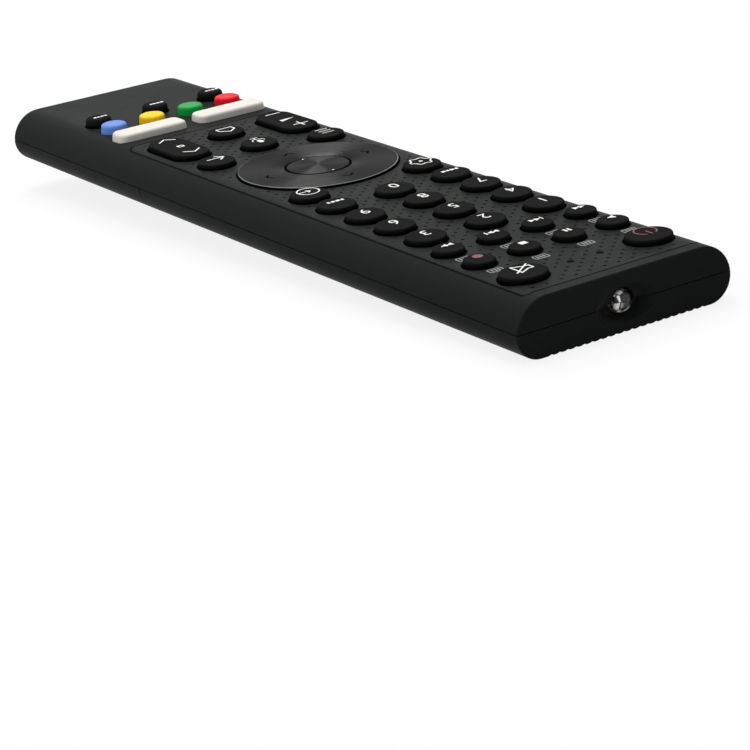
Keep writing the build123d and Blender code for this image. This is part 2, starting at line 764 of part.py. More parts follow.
# Ring carrier: pivots up and down on the board, and the ring pivots sideways on it
with BuildPart() as nav_carrier:
    with BuildSketch(Plane.XY.offset(carrier_z)):
        with Locations((0, nav_y)):
            Circle(carrier_outer_radius)
            Rectangle(carrier_arm_width, 2 * (nav_plunger_place + nav_plunger_radius))
            Circle(carrier_inner_radius, mode=Mode.SUBTRACT)
    extrude(amount=carrier_thickness)
    with BuildSketch(Plane.XY.offset(plunger_z)):
        with Locations((0, nav_y - nav_plunger_place), (0, nav_y + nav_plunger_place)):
            Circle(nav_plunger_radius)
    extrude(amount=carrier_z - plunger_z)
    arm_length = nav_plunger_place + nav_plunger_radius - carrier_inner_radius
    upper_ridge_height = nav_bottom_z - layer_gap - carrier_z - carrier_thickness
    lower_ridge_height = carrier_z - board_top_z - layer_gap
    for side in (left, right):
        with Locations((0, nav_y + side * (carrier_inner_radius + arm_length / 2),
                        carrier_z + carrier_thickness + upper_ridge_height / 2)):
            Box(pivot_ridge_width, arm_length, upper_ridge_height)
        ring_width = carrier_outer_radius - carrier_inner_radius - carrier_ridge_inset
        with Locations((side * (carrier_outer_radius + carrier_inner_radius) / 2, nav_y,
                        carrier_z - lower_ridge_height / 2)):
            Box(ring_width, pivot_ridge_width, lower_ridge_height)
save(nav_carrier, "nav_carrier")

# Centre button: a dished disc with a flange under the ring
ok_top_z = top_z + ok_rise
ok_flange_z = nav_bottom_z - ok_flange_drop
with BuildPart() as ok_button:
    with BuildSketch(section_plane(nav_y)):
        with BuildLine():
            Polyline((0, plunger_z), (plunger_radius, plunger_z), (plunger_radius, ok_flange_z),
                     (ok_flange_radius, ok_flange_z),
                     (ok_flange_radius, ok_flange_z + ok_flange_thickness),
                     (ok_radius, ok_flange_z + ok_flange_thickness), (ok_radius, ok_top_z - nav_edge),
                     (ok_radius - nav_edge, ok_top_z), (0, ok_top_z - nav_dish), close=True)
        make_face()
    revolve(axis=nav_axis)
save(ok_button, "ok_button")

# Infrared lamp: a clear dome on a flanged barrel
lamp_axis = Axis((0, 0, lamp_z), (0, 1, 0))
dome_y = lamp_tip_y - lamp_radius
with BuildPart() as ir_lamp:
    with BuildSketch(Plane.XY.offset(lamp_z)):
        with BuildLine():
            Polyline((0, lamp_rear_y), (lamp_flange_radius, lamp_rear_y),
                     (lamp_flange_radius, lamp_rear_y + lamp_flange_thickness),
                     (lamp_radius, lamp_rear_y + lamp_flange_thickness), (lamp_radius, dome_y))
            slant = lamp_radius * cos(radians(45))
            ThreePointArc((lamp_radius, dome_y), (slant, dome_y + slant), (0, lamp_tip_y))
            Line((0, lamp_tip_y), (0, lamp_rear_y))
        make_face()
    revolve(axis=lamp_axis)
save(ir_lamp, "ir_lamp")

# Lamp leads: bent up from the lamp into the board
with BuildPart() as lamp_leads:
    for side in (left, right):
        lead_x = side * lead_pitch / 2
        with BuildLine() as lead_path:
            FilletPolyline((lead_x, lamp_rear_y, lamp_z), (lead_x, lead_hole_y, lamp_z),
                           (lead_x, lead_hole_y, board_top_z + lead_end), radius=lead_bend_radius)
        with BuildSketch(Plane(origin=(lead_x, lamp_rear_y, lamp_z), x_dir=(1, 0, 0), z_dir=(0, -1, 0))):
            Rectangle(lead_size, lead_size)
        sweep(path=lead_path.wires()[0])
save(lamp_leads, "lamp_leads")

# Microphones under the two small holes
with BuildPart() as microphones:
    with Locations((-mic_x, mic_y, board_top_z + mic_height / 2),
                   (mic_x, mic_y, board_top_z + mic_height / 2)):
        Box(mic_width, mic_length, mic_height)
    with BuildSketch(Plane.XY.offset(board_top_z + mic_height)):
        with Locations((-mic_x, mic_y), (mic_x, mic_y)):
            Circle(mic_port_radius)
    extrude(amount=-mic_port_depth, mode=Mode.SUBTRACT)
save(microphones, "microphones")

# Control chip under the board: a body between two rows of legs
chip_size = 9.0
chip_height = 1.4
chip_y = 30.0
chip_leg_count = 10
chip_leg_pitch = 0.8
chip_leg_width = 0.35
chip_leg_reach = 0.9
chip_leg_thickness = 0.2
with BuildPart() as control_chip:
    with Locations((0, chip_y, board_z - chip_height / 2)):
        Box(chip_size, chip_size, chip_height)
    with Locations((0, chip_y, board_z - chip_leg_thickness / 2)):
        with GridLocations(chip_size + chip_leg_reach, chip_leg_pitch, 2, chip_leg_count):
            Box(chip_leg_reach, chip_leg_width, chip_leg_thickness)
save(control_chip, "control_chip")

# Small parts under the board: a radio module, a crystal, two capacitors and six resistors
radio_size = (14.0, 11.0, 2.0)
radio_y = 52.0
crystal_size = (3.2, 2.5, 1.2)
crystal_place = (10.0, 30.0)
capacitor_radius = 2.0
capacitor_height = 4.5
capacitor_places = ((-12.0, 16.0), (12.0, -20.0))
resistor_size = (1.6, 0.8, 0.6)
resistor_y = 40.0
resistor_pitch = (16.0, 2.0)
with BuildPart() as board_parts:
    with Locations((0, radio_y, board_z - radio_size[2] / 2)):
        Box(*radio_size)
    with Locations((*crystal_place, board_z - crystal_size[2] / 2)):
        Box(*crystal_size)
    with BuildSketch(Plane.XY.offset(board_z)):
        with Locations(*capacitor_places):
            Circle(capacitor_radius)
    extrude(amount=-capacitor_height)
    with Locations((0, resistor_y, board_z - resistor_size[2] / 2)):
        with GridLocations(*resistor_pitch, 2, 3):
            Box(*resistor_size)
save(board_parts, "board_parts")

# Two round cells, lying side by side with opposite poles
terminal_radius = 1.9
terminal_height = 1.0
bay_low_y = bay_rear_y + bay_wall + contact_thickness
bay_high_y = bay_front_y - contact_thickness
for label, side in (("battery_cell_left", left), ("battery_cell_right", right)):
    positive_y = bay_high_y - layer_gap if side > 0 else bay_low_y + layer_gap
    with BuildPart() as cell:
        cell_axis = Axis((side * cell_spacing / 2, 0, cell_z), (0, 1, 0))
        can_end = positive_y - side * cell_length
        can_shoulder = positive_y - side * terminal_height
        inner_x = side * cell_spacing / 2
        with BuildSketch(Plane.XY.offset(cell_z)):
            with BuildLine():
                Polyline((inner_x, can_end), (inner_x + cell_diameter / 2, can_end),
                         (inner_x + cell_diameter / 2, can_shoulder),
                         (inner_x + terminal_radius, can_shoulder),
                         (inner_x + terminal_radius, positive_y), (inner_x, positive_y), close=True)
            make_face()
        revolve(axis=cell_axis)
    save(cell, label)

# Contact plates at both ends of each cell
with BuildPart() as battery_contacts:
    for side in (left, right):
        for plate_y in (bay_low_y - contact_thickness / 2, bay_high_y + contact_thickness / 2):
            with Locations((side * cell_spacing / 2, plate_y, cell_z)):
                Box(contact_width, contact_thickness, contact_height)
save(battery_contacts, "battery_contacts")

# Cone springs on the negative plates, at opposite ends of the bay
spring_length = bay_high_y - bay_low_y - cell_length - layer_gap
bay_middle_y = (bay_low_y + bay_high_y) / 2
coil_gap = 0.02
coil_height = spring_length - 2 * spring_wire_radius - 4 * coil_gap
cone_angle = degrees(atan2(spring_top_radius - spring_radius, coil_height))
with BuildPart() as battery_springs:
    with BuildLine() as coil:
        Helix(pitch=coil_height / spring_turns, height=coil_height, radius=spring_radius,
              center=(cell_spacing / 2, bay_low_y + spring_wire_radius + coil_gap, cell_z),
              direction=(0, 1, 0), cone_angle=cone_angle)
    wire = coil.wires()[0]
    with BuildSketch(Plane(origin=wire @ 0, z_dir=wire % 0)):
        Circle(spring_wire_radius)
    sweep(path=wire)
    turned = battery_springs.part.rotate(Axis((0, bay_middle_y, 0), (0, 0, 1)), 180)
    add(turned)
save(battery_springs, "battery_springs")

# Case screws, driven up from the battery bay
with BuildPart() as case_screws:
    for side in (left, right):
        head_z = tray_roof_z - screw_head_height
        with BuildSketch(Plane.XY.offset(head_z)):
            with Locations((side * screw_x, screw_y)):
                Circle(screw_head_radius)
        extrude(amount=screw_head_height)
        with BuildSketch(Plane.XY.offset(tray_roof_z)):
            with Locations((side * screw_x, screw_y)):
                Circle(screw_radius)
        extrude(amount=case_ceiling_z - tray_roof_z + screw_bite)
        with BuildSketch(Plane.XY.offset(head_z)):
            with Locations((side * screw_x, screw_y)):
                Rectangle(screw_slot_length, screw_slot_width)
                Rectangle(screw_slot_width, screw_slot_length)
        extrude(amount=screw_slot_depth, mode=Mode.SUBTRACT)
save(case_screws, "case_screws")
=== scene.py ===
# %% [markdown]
# A slim television remote control, photographed from its lamp end. The CAD model gives every
# piece its true size and place. This script gives the pieces their finish: moulded plastic,
# rubber keys with printed legends, a spun metal ring, a clear lamp, and what lies inside.

# %% The frame
import math
import random

import bmesh
import bpy
from mathutils import Matrix, Vector


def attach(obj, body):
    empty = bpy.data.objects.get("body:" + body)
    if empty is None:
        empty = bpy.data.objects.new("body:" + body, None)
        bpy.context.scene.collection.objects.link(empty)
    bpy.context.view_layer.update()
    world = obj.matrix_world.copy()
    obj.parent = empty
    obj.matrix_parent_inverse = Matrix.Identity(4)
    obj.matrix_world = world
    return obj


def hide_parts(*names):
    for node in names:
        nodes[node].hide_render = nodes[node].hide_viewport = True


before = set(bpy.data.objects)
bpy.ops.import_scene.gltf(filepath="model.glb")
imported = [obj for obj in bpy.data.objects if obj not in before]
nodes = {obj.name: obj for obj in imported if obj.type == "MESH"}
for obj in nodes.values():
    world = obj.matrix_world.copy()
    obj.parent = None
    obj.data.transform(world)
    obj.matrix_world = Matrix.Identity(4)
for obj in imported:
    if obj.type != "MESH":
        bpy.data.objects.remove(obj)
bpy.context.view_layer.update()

# %% [markdown]
# Lengths below are written in millimetres, as on a drawing, and turned into metres where a mesh
# is made. The face of the remote is level, at the height where the keypad's caps come through.
# A cap has an outline, given by half its width, half its length and its corner, and a place. A
# real keypad is laid out in rows, so loops place most of the caps.

# %% Levels and key places
MM = 0.001
FACE_Z = 16.1
FLANGE_Z = 13.85
NAV_Y = -2.5
HALF_LENGTH = 102.5
BACK_Z = 4.4
HUMP_FRONT_Y = -35.5

KEY_RISE = 1.15
TAIL_RISE = 1.93
BAR_RISE = 1.6
DIGIT = ("round", 4.25, 4.25, 0)
MEDIA = ("round", 3.32, 3.32, 0)
POWER = ("round", 4.97, 4.5, 0)
TAIL = ("round", 3.15, 3.15, 0)
BAR = ("block", 8.8, 3.3, 2.1)
ROCKER = ("block", 4.4, 9.6, 4.3)
DIGITS_Y, DIGIT_PITCH = 59.2, 10.68
COLOURS_Y, TAILS_Y, BARS_Y, ROCKERS_Y = -67.1, -75.1, -58.75, -38.3

keys = {"power_key": (POWER, -14.45, 91.35), "mute_key": (POWER, 14.45, 91.35)}
media_rows = {79.1: "play pause stop record", 69.05: "rewind previous next forward"}
for y, row in media_rows.items():
    for x, word in zip((-15.57, -5.17, 5.17, 15.57), row.split()):
        keys[word + "_key"] = (MEDIA, x, y)
digit_rows = ("digit_1 digit_2 digit_3", "digit_4 digit_5 digit_6",
              "digit_7 digit_8 digit_9", "info digit_0 text")
for number, row in enumerate(digit_rows):
    for x, word in zip((-14.0, 0.0, 14.0), row.split()):
        keys[word + "_key"] = (DIGIT, x, DIGITS_Y - DIGIT_PITCH * number)
for word, x, y in (("settings", -13.95, 16.55), ("source", 13.95, 16.55), ("menu", -13.95, -21.6),
                   ("back", 13.95, -21.6), ("voice", 0.0, -27.05), ("home", 0.0, -41.6)):
    keys[word + "_key"] = (DIGIT, x, y)
for word, x in (("red", -15.02), ("green", -5.08), ("yellow", 5.08), ("blue", 15.02)):
    keys[word + "_key"] = (TAIL, x, COLOURS_Y)
for word, x in (("left", -14.9), ("centre", 0.0), ("right", 14.9)):
    keys["tail_key_" + word] = (TAIL, x, TAILS_Y)
for word, x in (("left", -10.35), ("right", 10.35)):
    keys["shortcut_bar_" + word] = (BAR, x, BARS_Y)
for word, x in (("volume_rocker", -13.95), ("channel_rocker", 13.95)):
    keys[word] = (ROCKER, x, ROCKERS_Y)
print("caps on the keypad:", len(keys))

# %% [markdown]
# A material is a small network of nodes, and arithmetic on its values reads best as ordinary
# sums. The class Wire stands for one value in the network: a sum, difference or product with a
# wire in it, on either side, adds the Math node that does it. Finish holds one material and adds
# any other node: its settings come first, then the values or wires of its sockets.


# %% Values and nodes of a material
class Wire:
    """A value in a material's network. Sums on it add Math nodes."""

    def __init__(self, finish, socket):
        self.finish = finish
        self.socket = socket

    def math(self, operation, first, second=None):
        inputs = [first] if second is None else [first, second]
        return self.finish.node("ShaderNodeMath", inputs, operation=operation)

    def __add__(self, other):
        return self.math("ADD", self, other)

    def __mul__(self, other):
        return self.math("MULTIPLY", self, other)

    def __sub__(self, other):
        return self.math("SUBTRACT", self, other)

    def __rsub__(self, other):
        return self.math("SUBTRACT", other, self)

    __radd__ = __add__
    __rmul__ = __mul__


class Finish:
    """One material, or the world given as its owner, and the methods that add nodes to it."""

    def __init__(self, name, owner=None):
        self.material = owner or bpy.data.materials.new(name)
        self.material.use_nodes = True
        self.tree = self.material.node_tree
        self.tree.nodes.clear()

    def node(self, kind, inputs=(), output=0, **settings):
        made = self.tree.nodes.new(kind)
        for key, value in settings.items():
            if key == "stops":
                ramp = made.color_ramp.elements
                while len(ramp) < len(value):
                    ramp.new(0.5)
                for stop, (place, colour) in zip(ramp, value):
                    stop.position = place
                    stop.color = (*colour[:3], 1)
            else:
                setattr(made, key, value)
        pairs = inputs.items() if isinstance(inputs, dict) else enumerate(inputs)
        for key, value in pairs:
            if isinstance(value, Wire):
                self.tree.links.new(value.socket, made.inputs[key])
            else:
                made.inputs[key].default_value = value
        return Wire(self, made.outputs[output]) if made.outputs else None

    def coordinates(self):
        return self.node("ShaderNodeTexCoord", output="Object")

    def noise(self, scale, detail=2.0):
        return self.node("ShaderNodeTexNoise", {"Vector": self.coordinates(), "Scale": scale,
                                                "Detail": detail})

    def ramp(self, value, stops):
        return self.node("ShaderNodeValToRGB", [value], stops=stops)

    def blend(self, factor, first, second):
        return self.node("ShaderNodeMix", {0: factor, 6: first, 7: second}, output=2,
                         data_type="RGBA")

    def bump(self, height, distance):
        return self.node("ShaderNodeBump", {"Height": height, "Distance": distance,
                                            "Strength": 1.0})

    def axis(self, letter):
        return self.node("ShaderNodeSeparateXYZ", [self.coordinates()], output=letter)

    def surface(self, **sockets):
        names = {key.replace("_", " ").title(): value for key, value in sockets.items()}
        if "Ior" in names:
            names["IOR"] = names.pop("Ior")
        if "Specular Ior Level" in names:
            names["Specular IOR Level"] = names.pop("Specular Ior Level")
        shader = self.node("ShaderNodeBsdfPrincipled", names)
        self.node("ShaderNodeOutputMaterial", [shader])
        return self.material


def rgb(hex_code):
    """A colour written as on a web page, as linear light."""
    parts = [int(hex_code[i:i + 2], 16) / 255 for i in (1, 3, 5)]
    return (*(p / 12.92 if p <= 0.04045 else ((p + 0.055) / 1.055) ** 2.4 for p in parts), 1.0)


print("a middle grey as linear light:", [round(part, 3) for part in rgb("#808080")])

# %% [markdown]
# Moulded plastic is never one flat colour. The tool leaves a fine even grain, the gloss drifts
# a little from place to place, and handling lifts it in soft patches. So the grain is a bump from
# fine noise, and two coarser noises vary roughness and colour. Rubber and satin plastic use the
# same recipe with other numbers. The black caps also get painted shade: their colour darkens down
# their skirts, where they stand in the shade of their wells, so it follows the height.


# %% Moulded finishes
GLOSS_DRIFT = 0.06


def moulded(name, hex_code, roughness, grain=900.0, depth=0.00002, shade=0.12, level=0.5,
            skirt=None):
    """Plastic or rubber; skirt gives two heights over the face and the colour of painted shade at
    the lower.
    """
    finish = Finish(name)
    colour = rgb(hex_code)
    dark = tuple(c * (1 - shade) for c in colour[:3])
    light = tuple(min(1.0, c * (1 + shade)) for c in colour[:3])
    patches = finish.noise(45.0, 3.0)
    fine = finish.noise(grain, 2.0)
    tint = finish.ramp(patches * 0.6 + fine * 0.4, [(0.3, dark), (0.7, light)])
    # Painted shade: the colour darkens towards the lower of the skirt's two heights.
    if skirt:
        low, high, skirt_shade_colour = (FACE_Z + skirt[0]) * MM, (FACE_Z + skirt[1]) * MM, skirt[2]
        lift = (finish.axis("Z") - low) * (1 / (high - low))
        tint = finish.blend(lift, rgb(skirt_shade_colour), tint)
    gloss = finish.noise(160.0, 3.0) * (2 * GLOSS_DRIFT) + (roughness - GLOSS_DRIFT)
    return finish.surface(base_color=tint, roughness=gloss, normal=finish.bump(fine, depth),
                          specular_ior_level=level)


case_black = moulded("case_black", "#212222", 0.42, grain=1500.0, depth=0.000012, level=0.015)
panel_black = moulded("panel_black", "#1d1f1e", 0.46, grain=1300.0, depth=0.000015, level=0.03)
# The black caps get painted shade down their skirts, near black towards the face.
key_black = moulded("key_black", "#1c1c1c", 0.6, grain=1100.0, depth=0.000006, level=0.005,
                    skirt=(0.3, 0.95, "#050505"))
cap_finishes = {"key_black": key_black}
for name, hex_code, roughness, shade, level in (
        ("key_white", "#e4dfd6", 0.5, 0.03, 0.2), ("key_red", "#e81c27", 0.45, 0.05, 0.1),
        ("key_green", "#0a9d43", 0.45, 0.05, 0.12), ("key_yellow", "#ffd01c", 0.45, 0.05, 0.12),
        ("key_blue", "#688ee0", 0.45, 0.05, 0.12)):
    cap_finishes[name] = moulded(name, hex_code, roughness, grain=500.0, depth=0.000003,
                                 shade=shade, level=level)
legend_white, legend_red, legend_grey = (
    moulded("legend_" + word, hex_code, 0.55, grain=2500.0, depth=0.000004, shade=shade)
    for word, hex_code, shade in (("white", "#f2f2ee", 0.04), ("red", "#6e2b2d", 0.05),
                                  ("grey", "#8e9190", 0.06)))
inner_plastic = moulded("inner_plastic", "#c4c4be", 0.45, grain=700.0)
mat_rubber = moulded("mat_rubber", "#2a2a2c", 0.6, grain=900.0)
# Near black, for the painted shade of the bead in the groove round the plate.
glue_black = moulded("glue_black", "#040404", 0.7, grain=1200.0, depth=0.00001, level=0.03)
chip_black = moulded("chip_black", "#151516", 0.5, grain=2000.0)
component_grey = moulded("component_grey", "#77746c", 0.4, grain=800.0)
print("moulded finishes ready, for caps:", ", ".join(cap_finishes))

# %% [markdown]
# Metal pieces get a brushed grain: noise stretched along one axis by a Mapping node, which
# varies roughness and lifts a slight bump. The ring and its button were turned on a lathe, so
# their grain runs in circles. Cycles lays the grain of an unlinked tangent round the piece's own
# centre, and the Anisotropic value stretches each highlight across it into the bright wedges. A
# grey Specular Tint keeps the metal dark where it mirrors the white room at a low angle.


# %% Metal finishes
def brushed(name, hex_code, roughness, stretch=(1.0, 0.05, 1.0)):
    finish = Finish(name)
    colour = rgb(hex_code)
    place = finish.node("ShaderNodeMapping", {"Vector": finish.coordinates(), "Scale": stretch})
    lines = finish.node("ShaderNodeTexNoise", {"Vector": place, "Scale": 1200.0, "Detail": 3.0})
    darker = tuple(c * 0.8 for c in colour[:3])
    tint = finish.ramp(lines, [(0.3, darker), (0.7, colour)])
    return finish.surface(base_color=tint, metallic=1.0, normal=finish.bump(lines, 0.000008),
                          roughness=lines * 0.16 + (roughness - 0.08))


def spun(name, hex_code, roughness):
    finish = Finish(name)
    colour = rgb(hex_code)
    place = finish.node("ShaderNodeMapping", {"Vector": finish.coordinates(),
                                              "Location": (0, -NAV_Y * MM, 0)})
    x = finish.node("ShaderNodeSeparateXYZ", [place], output="X")
    y = finish.node("ShaderNodeSeparateXYZ", [place], output="Y")
    radius = x.math("SQRT", x * x + y * y)
    rings = finish.node("ShaderNodeTexNoise", {"W": radius, "Scale": 7000.0, "Detail": 2.0},
                        noise_dimensions="1D")
    darker = tuple(c * 0.7 for c in colour[:3])
    lighter = tuple(min(1.0, c * 1.25) for c in colour[:3])
    tint = finish.ramp(rings, [(0.35, darker), (0.65, lighter)])
    return finish.surface(base_color=tint, metallic=1.0, normal=finish.bump(rings, 0.000004),
                          roughness=rings * 0.14 + (roughness - 0.07), anisotropic=0.95,
                          anisotropic_rotation=0.25, specular_tint=(0.48, 0.48, 0.48, 1))


ring_metal = spun("ring_metal", "#363636", 0.3)
rim_metal = brushed("rim_metal", "#8c8c8a", 0.3)
tin_lead = brushed("tin_lead", "#b8b8b2", 0.3)
microphone_can = brushed("microphone_can", "#b4ad98", 0.32)
contact_steel = brushed("contact_steel", "#c0c0bd", 0.28)
spring_steel = brushed("spring_steel", "#bdbdba", 0.25, stretch=(0.1, 1.0, 1.0))
screw_steel = brushed("screw_steel", "#5b5b5d", 0.35)
print("metals, spun and brushed:", ring_metal.name, rim_metal.name, tin_lead.name,
      microphone_can.name, contact_steel.name, spring_steel.name, screw_steel.name)

# %% [markdown]
# Four finishes have a recipe of their own: the clear lamp, the circuit board with its copper
# tracks under green lacquer, the jacket of the cells, and the faceted bead inside the lamp. The
# bead's cells of light and dark, with dark lines between them, are a painted reflection: they
# stand for the bright chip holder seen through the dome.

# %% Clear, board and jacket finishes
clear = Finish("lamp_clear")
ripple = clear.noise(700.0, 2.0)
lamp_clear = clear.surface(base_color=(0.95, 0.96, 0.97, 1), roughness=ripple * 0.04 + 0.01,
                           transmission_weight=1.0, ior=1.2, normal=clear.bump(ripple, 0.00001))

board = Finish("board_green")
tracks = board.node("ShaderNodeTexBrick", {
    "Vector": board.coordinates(), "Color1": (1, 1, 1, 1), "Color2": (0.6, 0.6, 0.6, 1),
    "Mortar": (0, 0, 0, 1), "Scale": 260.0, "Mortar Size": 0.03}, offset=0.5)
board_tint = board.ramp(tracks, [(0.0, rgb("#2f7a48")), (0.9, rgb("#123f24"))])
board_green = board.surface(base_color=board_tint, roughness=board.noise(300.0) * 0.1 + 0.22,
                            normal=board.bump(tracks, 0.00003))

jacket = Finish("cell_jacket")
band = jacket.node("ShaderNodeTexWave", {"Vector": jacket.coordinates(), "Scale": 12.0,
                                         "Distortion": 0.0},
                   wave_type="BANDS", bands_direction="Y")
jacket_tint = jacket.ramp(band, [(0.0, rgb("#20252c")), (0.52, rgb("#20252c")),
                                 (0.56, rgb("#9aa0a6")), (1.0, rgb("#a9aeb3"))])
cell_jacket = jacket.surface(base_color=jacket_tint, metallic=0.6,
                             roughness=jacket.noise(400.0) * 0.12 + 0.22,
                             normal=jacket.bump(jacket.noise(900.0), 0.000004))

lamp_image_finish = Finish("lamp_cup")
FACET_SCALE = 720.0
facet_shade = lamp_image_finish.node("ShaderNodeTexVoronoi", {"Vector": lamp_image_finish.coordinates(),
                                                "Scale": FACET_SCALE}, output="Color")
facet_edge = lamp_image_finish.node("ShaderNodeTexVoronoi", {"Vector": lamp_image_finish.coordinates(),
                                               "Scale": FACET_SCALE},
                      feature="DISTANCE_TO_EDGE")
# Painted light and shade: bright and dark cells, with dark lines between them, for the holder's
# bent image.
facet_painted_light = lamp_image_finish.ramp(facet_shade, [(0.3, rgb("#221f1e")), (0.45, rgb("#8d8583")),
                                    (0.6, rgb("#fffdfb"))])
facet_painted_line = lamp_image_finish.ramp(facet_edge, [(0.03, (0.0, 0.0, 0.0)), (0.09, (1.0, 1.0, 1.0))])
facet_painted_light = lamp_image_finish.blend(facet_painted_line, rgb("#2e2a29"), facet_painted_light)
lamp_cup = lamp_image_finish.surface(base_color=facet_painted_light, metallic=0.2, roughness=facet_edge * 0.2 + 0.3,
                       normal=lamp_image_finish.bump(facet_edge, 0.0001))

CAD_FINISHES = {
    "front_case": case_black, "rear_case": case_black, "battery_cover": case_black,
    "nav_carrier": inner_plastic, "keypad_mat": mat_rubber, "circuit_board": board_green,
    "lamp_leads": tin_lead, "microphones": microphone_can, "control_chip": chip_black,
    "board_parts": component_grey, "battery_cell_left": cell_jacket,
    "battery_cell_right": cell_jacket, "battery_contacts": contact_steel,
    "battery_springs": spring_steel, "case_screws": screw_steel}
for name, material in CAD_FINISHES.items():
    nodes[name].data.materials.clear()
    nodes[name].data.materials.append(material)
print("CAD pieces with a finish:", len(CAD_FINISHES))

# %% [markdown]
# A real cap is moulded: a flange under the roof keeps it in, its wall has draft so that it leaves
# the mould, and its rim is rounded. It could be a bevelled cylinder, but a stack of outlines gives
# each of these its own size. A level has a height and an amount by which the outline is drawn in,
# and the caps are all of one family, so one function makes them from an outline and its levels.


# %% Outlines and stacks
def add_piece(name, data):
    """Puts a mesh, a light or a camera into the scene."""
    piece = bpy.data.objects.new(name, data)
    bpy.context.scene.collection.objects.link(piece)
    return piece


def as_object(name, form, material=None):
    """Turns a mesh in the making into a piece."""
    mesh = bpy.data.meshes.new(name)
    form.to_mesh(mesh)
    form.free()
    if material:
        mesh.materials.append(material)
    return add_piece(name, mesh)


def on_circle(x, y, radius, angle):
    return x + radius * math.cos(angle), y + radius * math.sin(angle)


def outline(shape, grow, count=96):
    """Points round a cap's outline, grown by a margin, starting on its +X side."""
    kind, half_x, half_y, corner = shape
    half_x += grow
    half_y += grow
    points = []
    for step in range(count):
        angle = 2 * math.pi * step / count
        if kind == "round":
            points.append((half_x * math.cos(angle), half_y * math.sin(angle)))
        else:
            radius = corner + grow
            quarter = (step * 4) // count
            swing = math.pi / 2 * (quarter + (step % (count // 4)) / (count // 4 - 1))
            centre_x = (half_x - radius) * (1, -1, -1, 1)[quarter]
            centre_y = (half_y - radius) * (1, 1, -1, -1)[quarter]
            points.append(on_circle(centre_x, centre_y, radius, swing))
    return points


def stacked(name, shape, x, y, levels, material):
    """A closed piece through outlines: levels are (height, growth) from the bottom up."""
    form = bmesh.new()
    rings = []
    for height, grow in levels:
        rings.append([form.verts.new(((x + px) * MM, (y + py) * MM, height * MM))
                      for px, py in outline(shape, grow)])
    for low, high in zip(rings, rings[1:]):
        for i in range(len(low)):
            j = (i + 1) % len(low)
            form.faces.new((low[i], low[j], high[j], high[i]))
    form.faces.new(rings[-1])
    form.faces.new(rings[0][::-1])
    for face in form.faces:
        face.smooth = True
    return as_object(name, form, material)


def crease(piece, degrees=32):
    """Keeps edges sharper than an angle crisp in shading."""
    piece.data.set_sharp_from_angle(angle=math.radians(degrees))
    return piece


FLANGE_HEIGHT, STEM_DROP, DRAFT = 0.45, 0.2, 0.2
ROUNDING_STEPS = 6


def cap_levels(rise, edge, flange):
    """Levels of a cap: flange, straight stem, drafted wall, rounded rim and nearly flat top."""
    top = FACE_Z + rise
    shelf = FLANGE_Z + FLANGE_HEIGHT
    levels = [(FLANGE_Z, flange), (shelf, flange), (shelf, 0), (FACE_Z - STEM_DROP, 0)]
    for step in range(ROUNDING_STEPS + 1):
        angle = math.pi / 2 * step / ROUNDING_STEPS
        levels.append((top - edge + edge * math.sin(angle),
                       -DRAFT - edge * (1 - math.cos(angle))))
    levels.append((top, -DRAFT - edge - 0.25))
    return levels


CAP_COLOURS = {word + "_key": "key_" + word for word in ("red", "green", "yellow", "blue")}
CAP_COLOURS |= {"shortcut_bar_" + side: "key_white" for side in ("left", "right")}
# Rise over the face, rounding of the rim and reach of the flange.
USUAL_CAP = (KEY_RISE, 0.3, 0.45)
OTHER_CAPS = {TAIL: (TAIL_RISE, 0.7, 0.45), BAR: (BAR_RISE, 0.75, 0.45),
              ROCKER: (KEY_RISE, 0.3, 0.0)}
for name, (shape, x, y) in keys.items():
    colour = CAP_COLOURS.get(name, "key_black")
    levels = cap_levels(*OTHER_CAPS.get(shape, USUAL_CAP))
    cap = crease(stacked("cap_" + name, shape, x, y, levels, cap_finishes[colour]))
    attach(cap, name + "_body")
    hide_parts(name)
print("caps made:", len(keys))

# %% [markdown]
# Prints, marks and cutters are all short prisms, so small tools make them: one adds a prism to a
# mesh in the making, one joins or cuts two pieces, and one keeps what a modifier gives as a plain
# mesh. The real ones are printed, stamped or cut by the mould, each in one flat outline.


# %% Prisms and Booleans
def prism(form, points, low, high, x=0, y=0):
    """Adds a closed prism over a place to a mesh in the making, from one height to another."""
    base, roof = ([form.verts.new(((x + px) * MM, (y + py) * MM, z * MM)) for px, py in points]
                  for z in (low, high))
    form.faces.new(roof)
    form.faces.new(base[::-1])
    for i in range(len(points)):
        j = (i + 1) % len(points)
        form.faces.new((base[i], base[j], roof[j], roof[i]))


def prisms(shapes, x, y, low, high):
    """One prism for each convex polygon, in one mesh in the making."""
    form = bmesh.new()
    for points in shapes:
        prism(form, points, low, high, x, y)
    return form


def evaluated_mesh(piece):
    """The mesh that a piece's modifiers or its text give, as a plain mesh."""
    bpy.context.view_layer.update()
    graph = bpy.context.evaluated_depsgraph_get()
    return bpy.data.meshes.new_from_object(piece.evaluated_get(graph))


def boolean(piece, other, operation):
    """Joins another piece to a piece, or cuts it out, and keeps the result as a plain mesh."""
    tool = piece.modifiers.new("boolean", "BOOLEAN")
    tool.operation = operation
    tool.solver = "EXACT"
    tool.use_self = True
    tool.object = other
    mesh = evaluated_mesh(piece)
    piece.modifiers.clear()
    piece.data = mesh
    bpy.data.objects.remove(other)


print("prism tools ready")

# %% [markdown]
# The legends are printed on the caps. A mask in the cap's material could paint them, but a film
# keeps its edges crisp from near. Each is drawn with a few strokes, discs and polygons, is three
# hundredths of a millimetre thick and rides on its own cap.


# %% Drawing tools for the legends
ARC_STEPS = 28
PRINT_SUNK, PRINT_PROUD = 0.02, 0.012


def disc(x, y, radius, count=24):
    """A list of one polygon, as stroke and block give theirs."""
    return [[on_circle(x, y, radius, 2 * math.pi * i / count) for i in range(count)]]


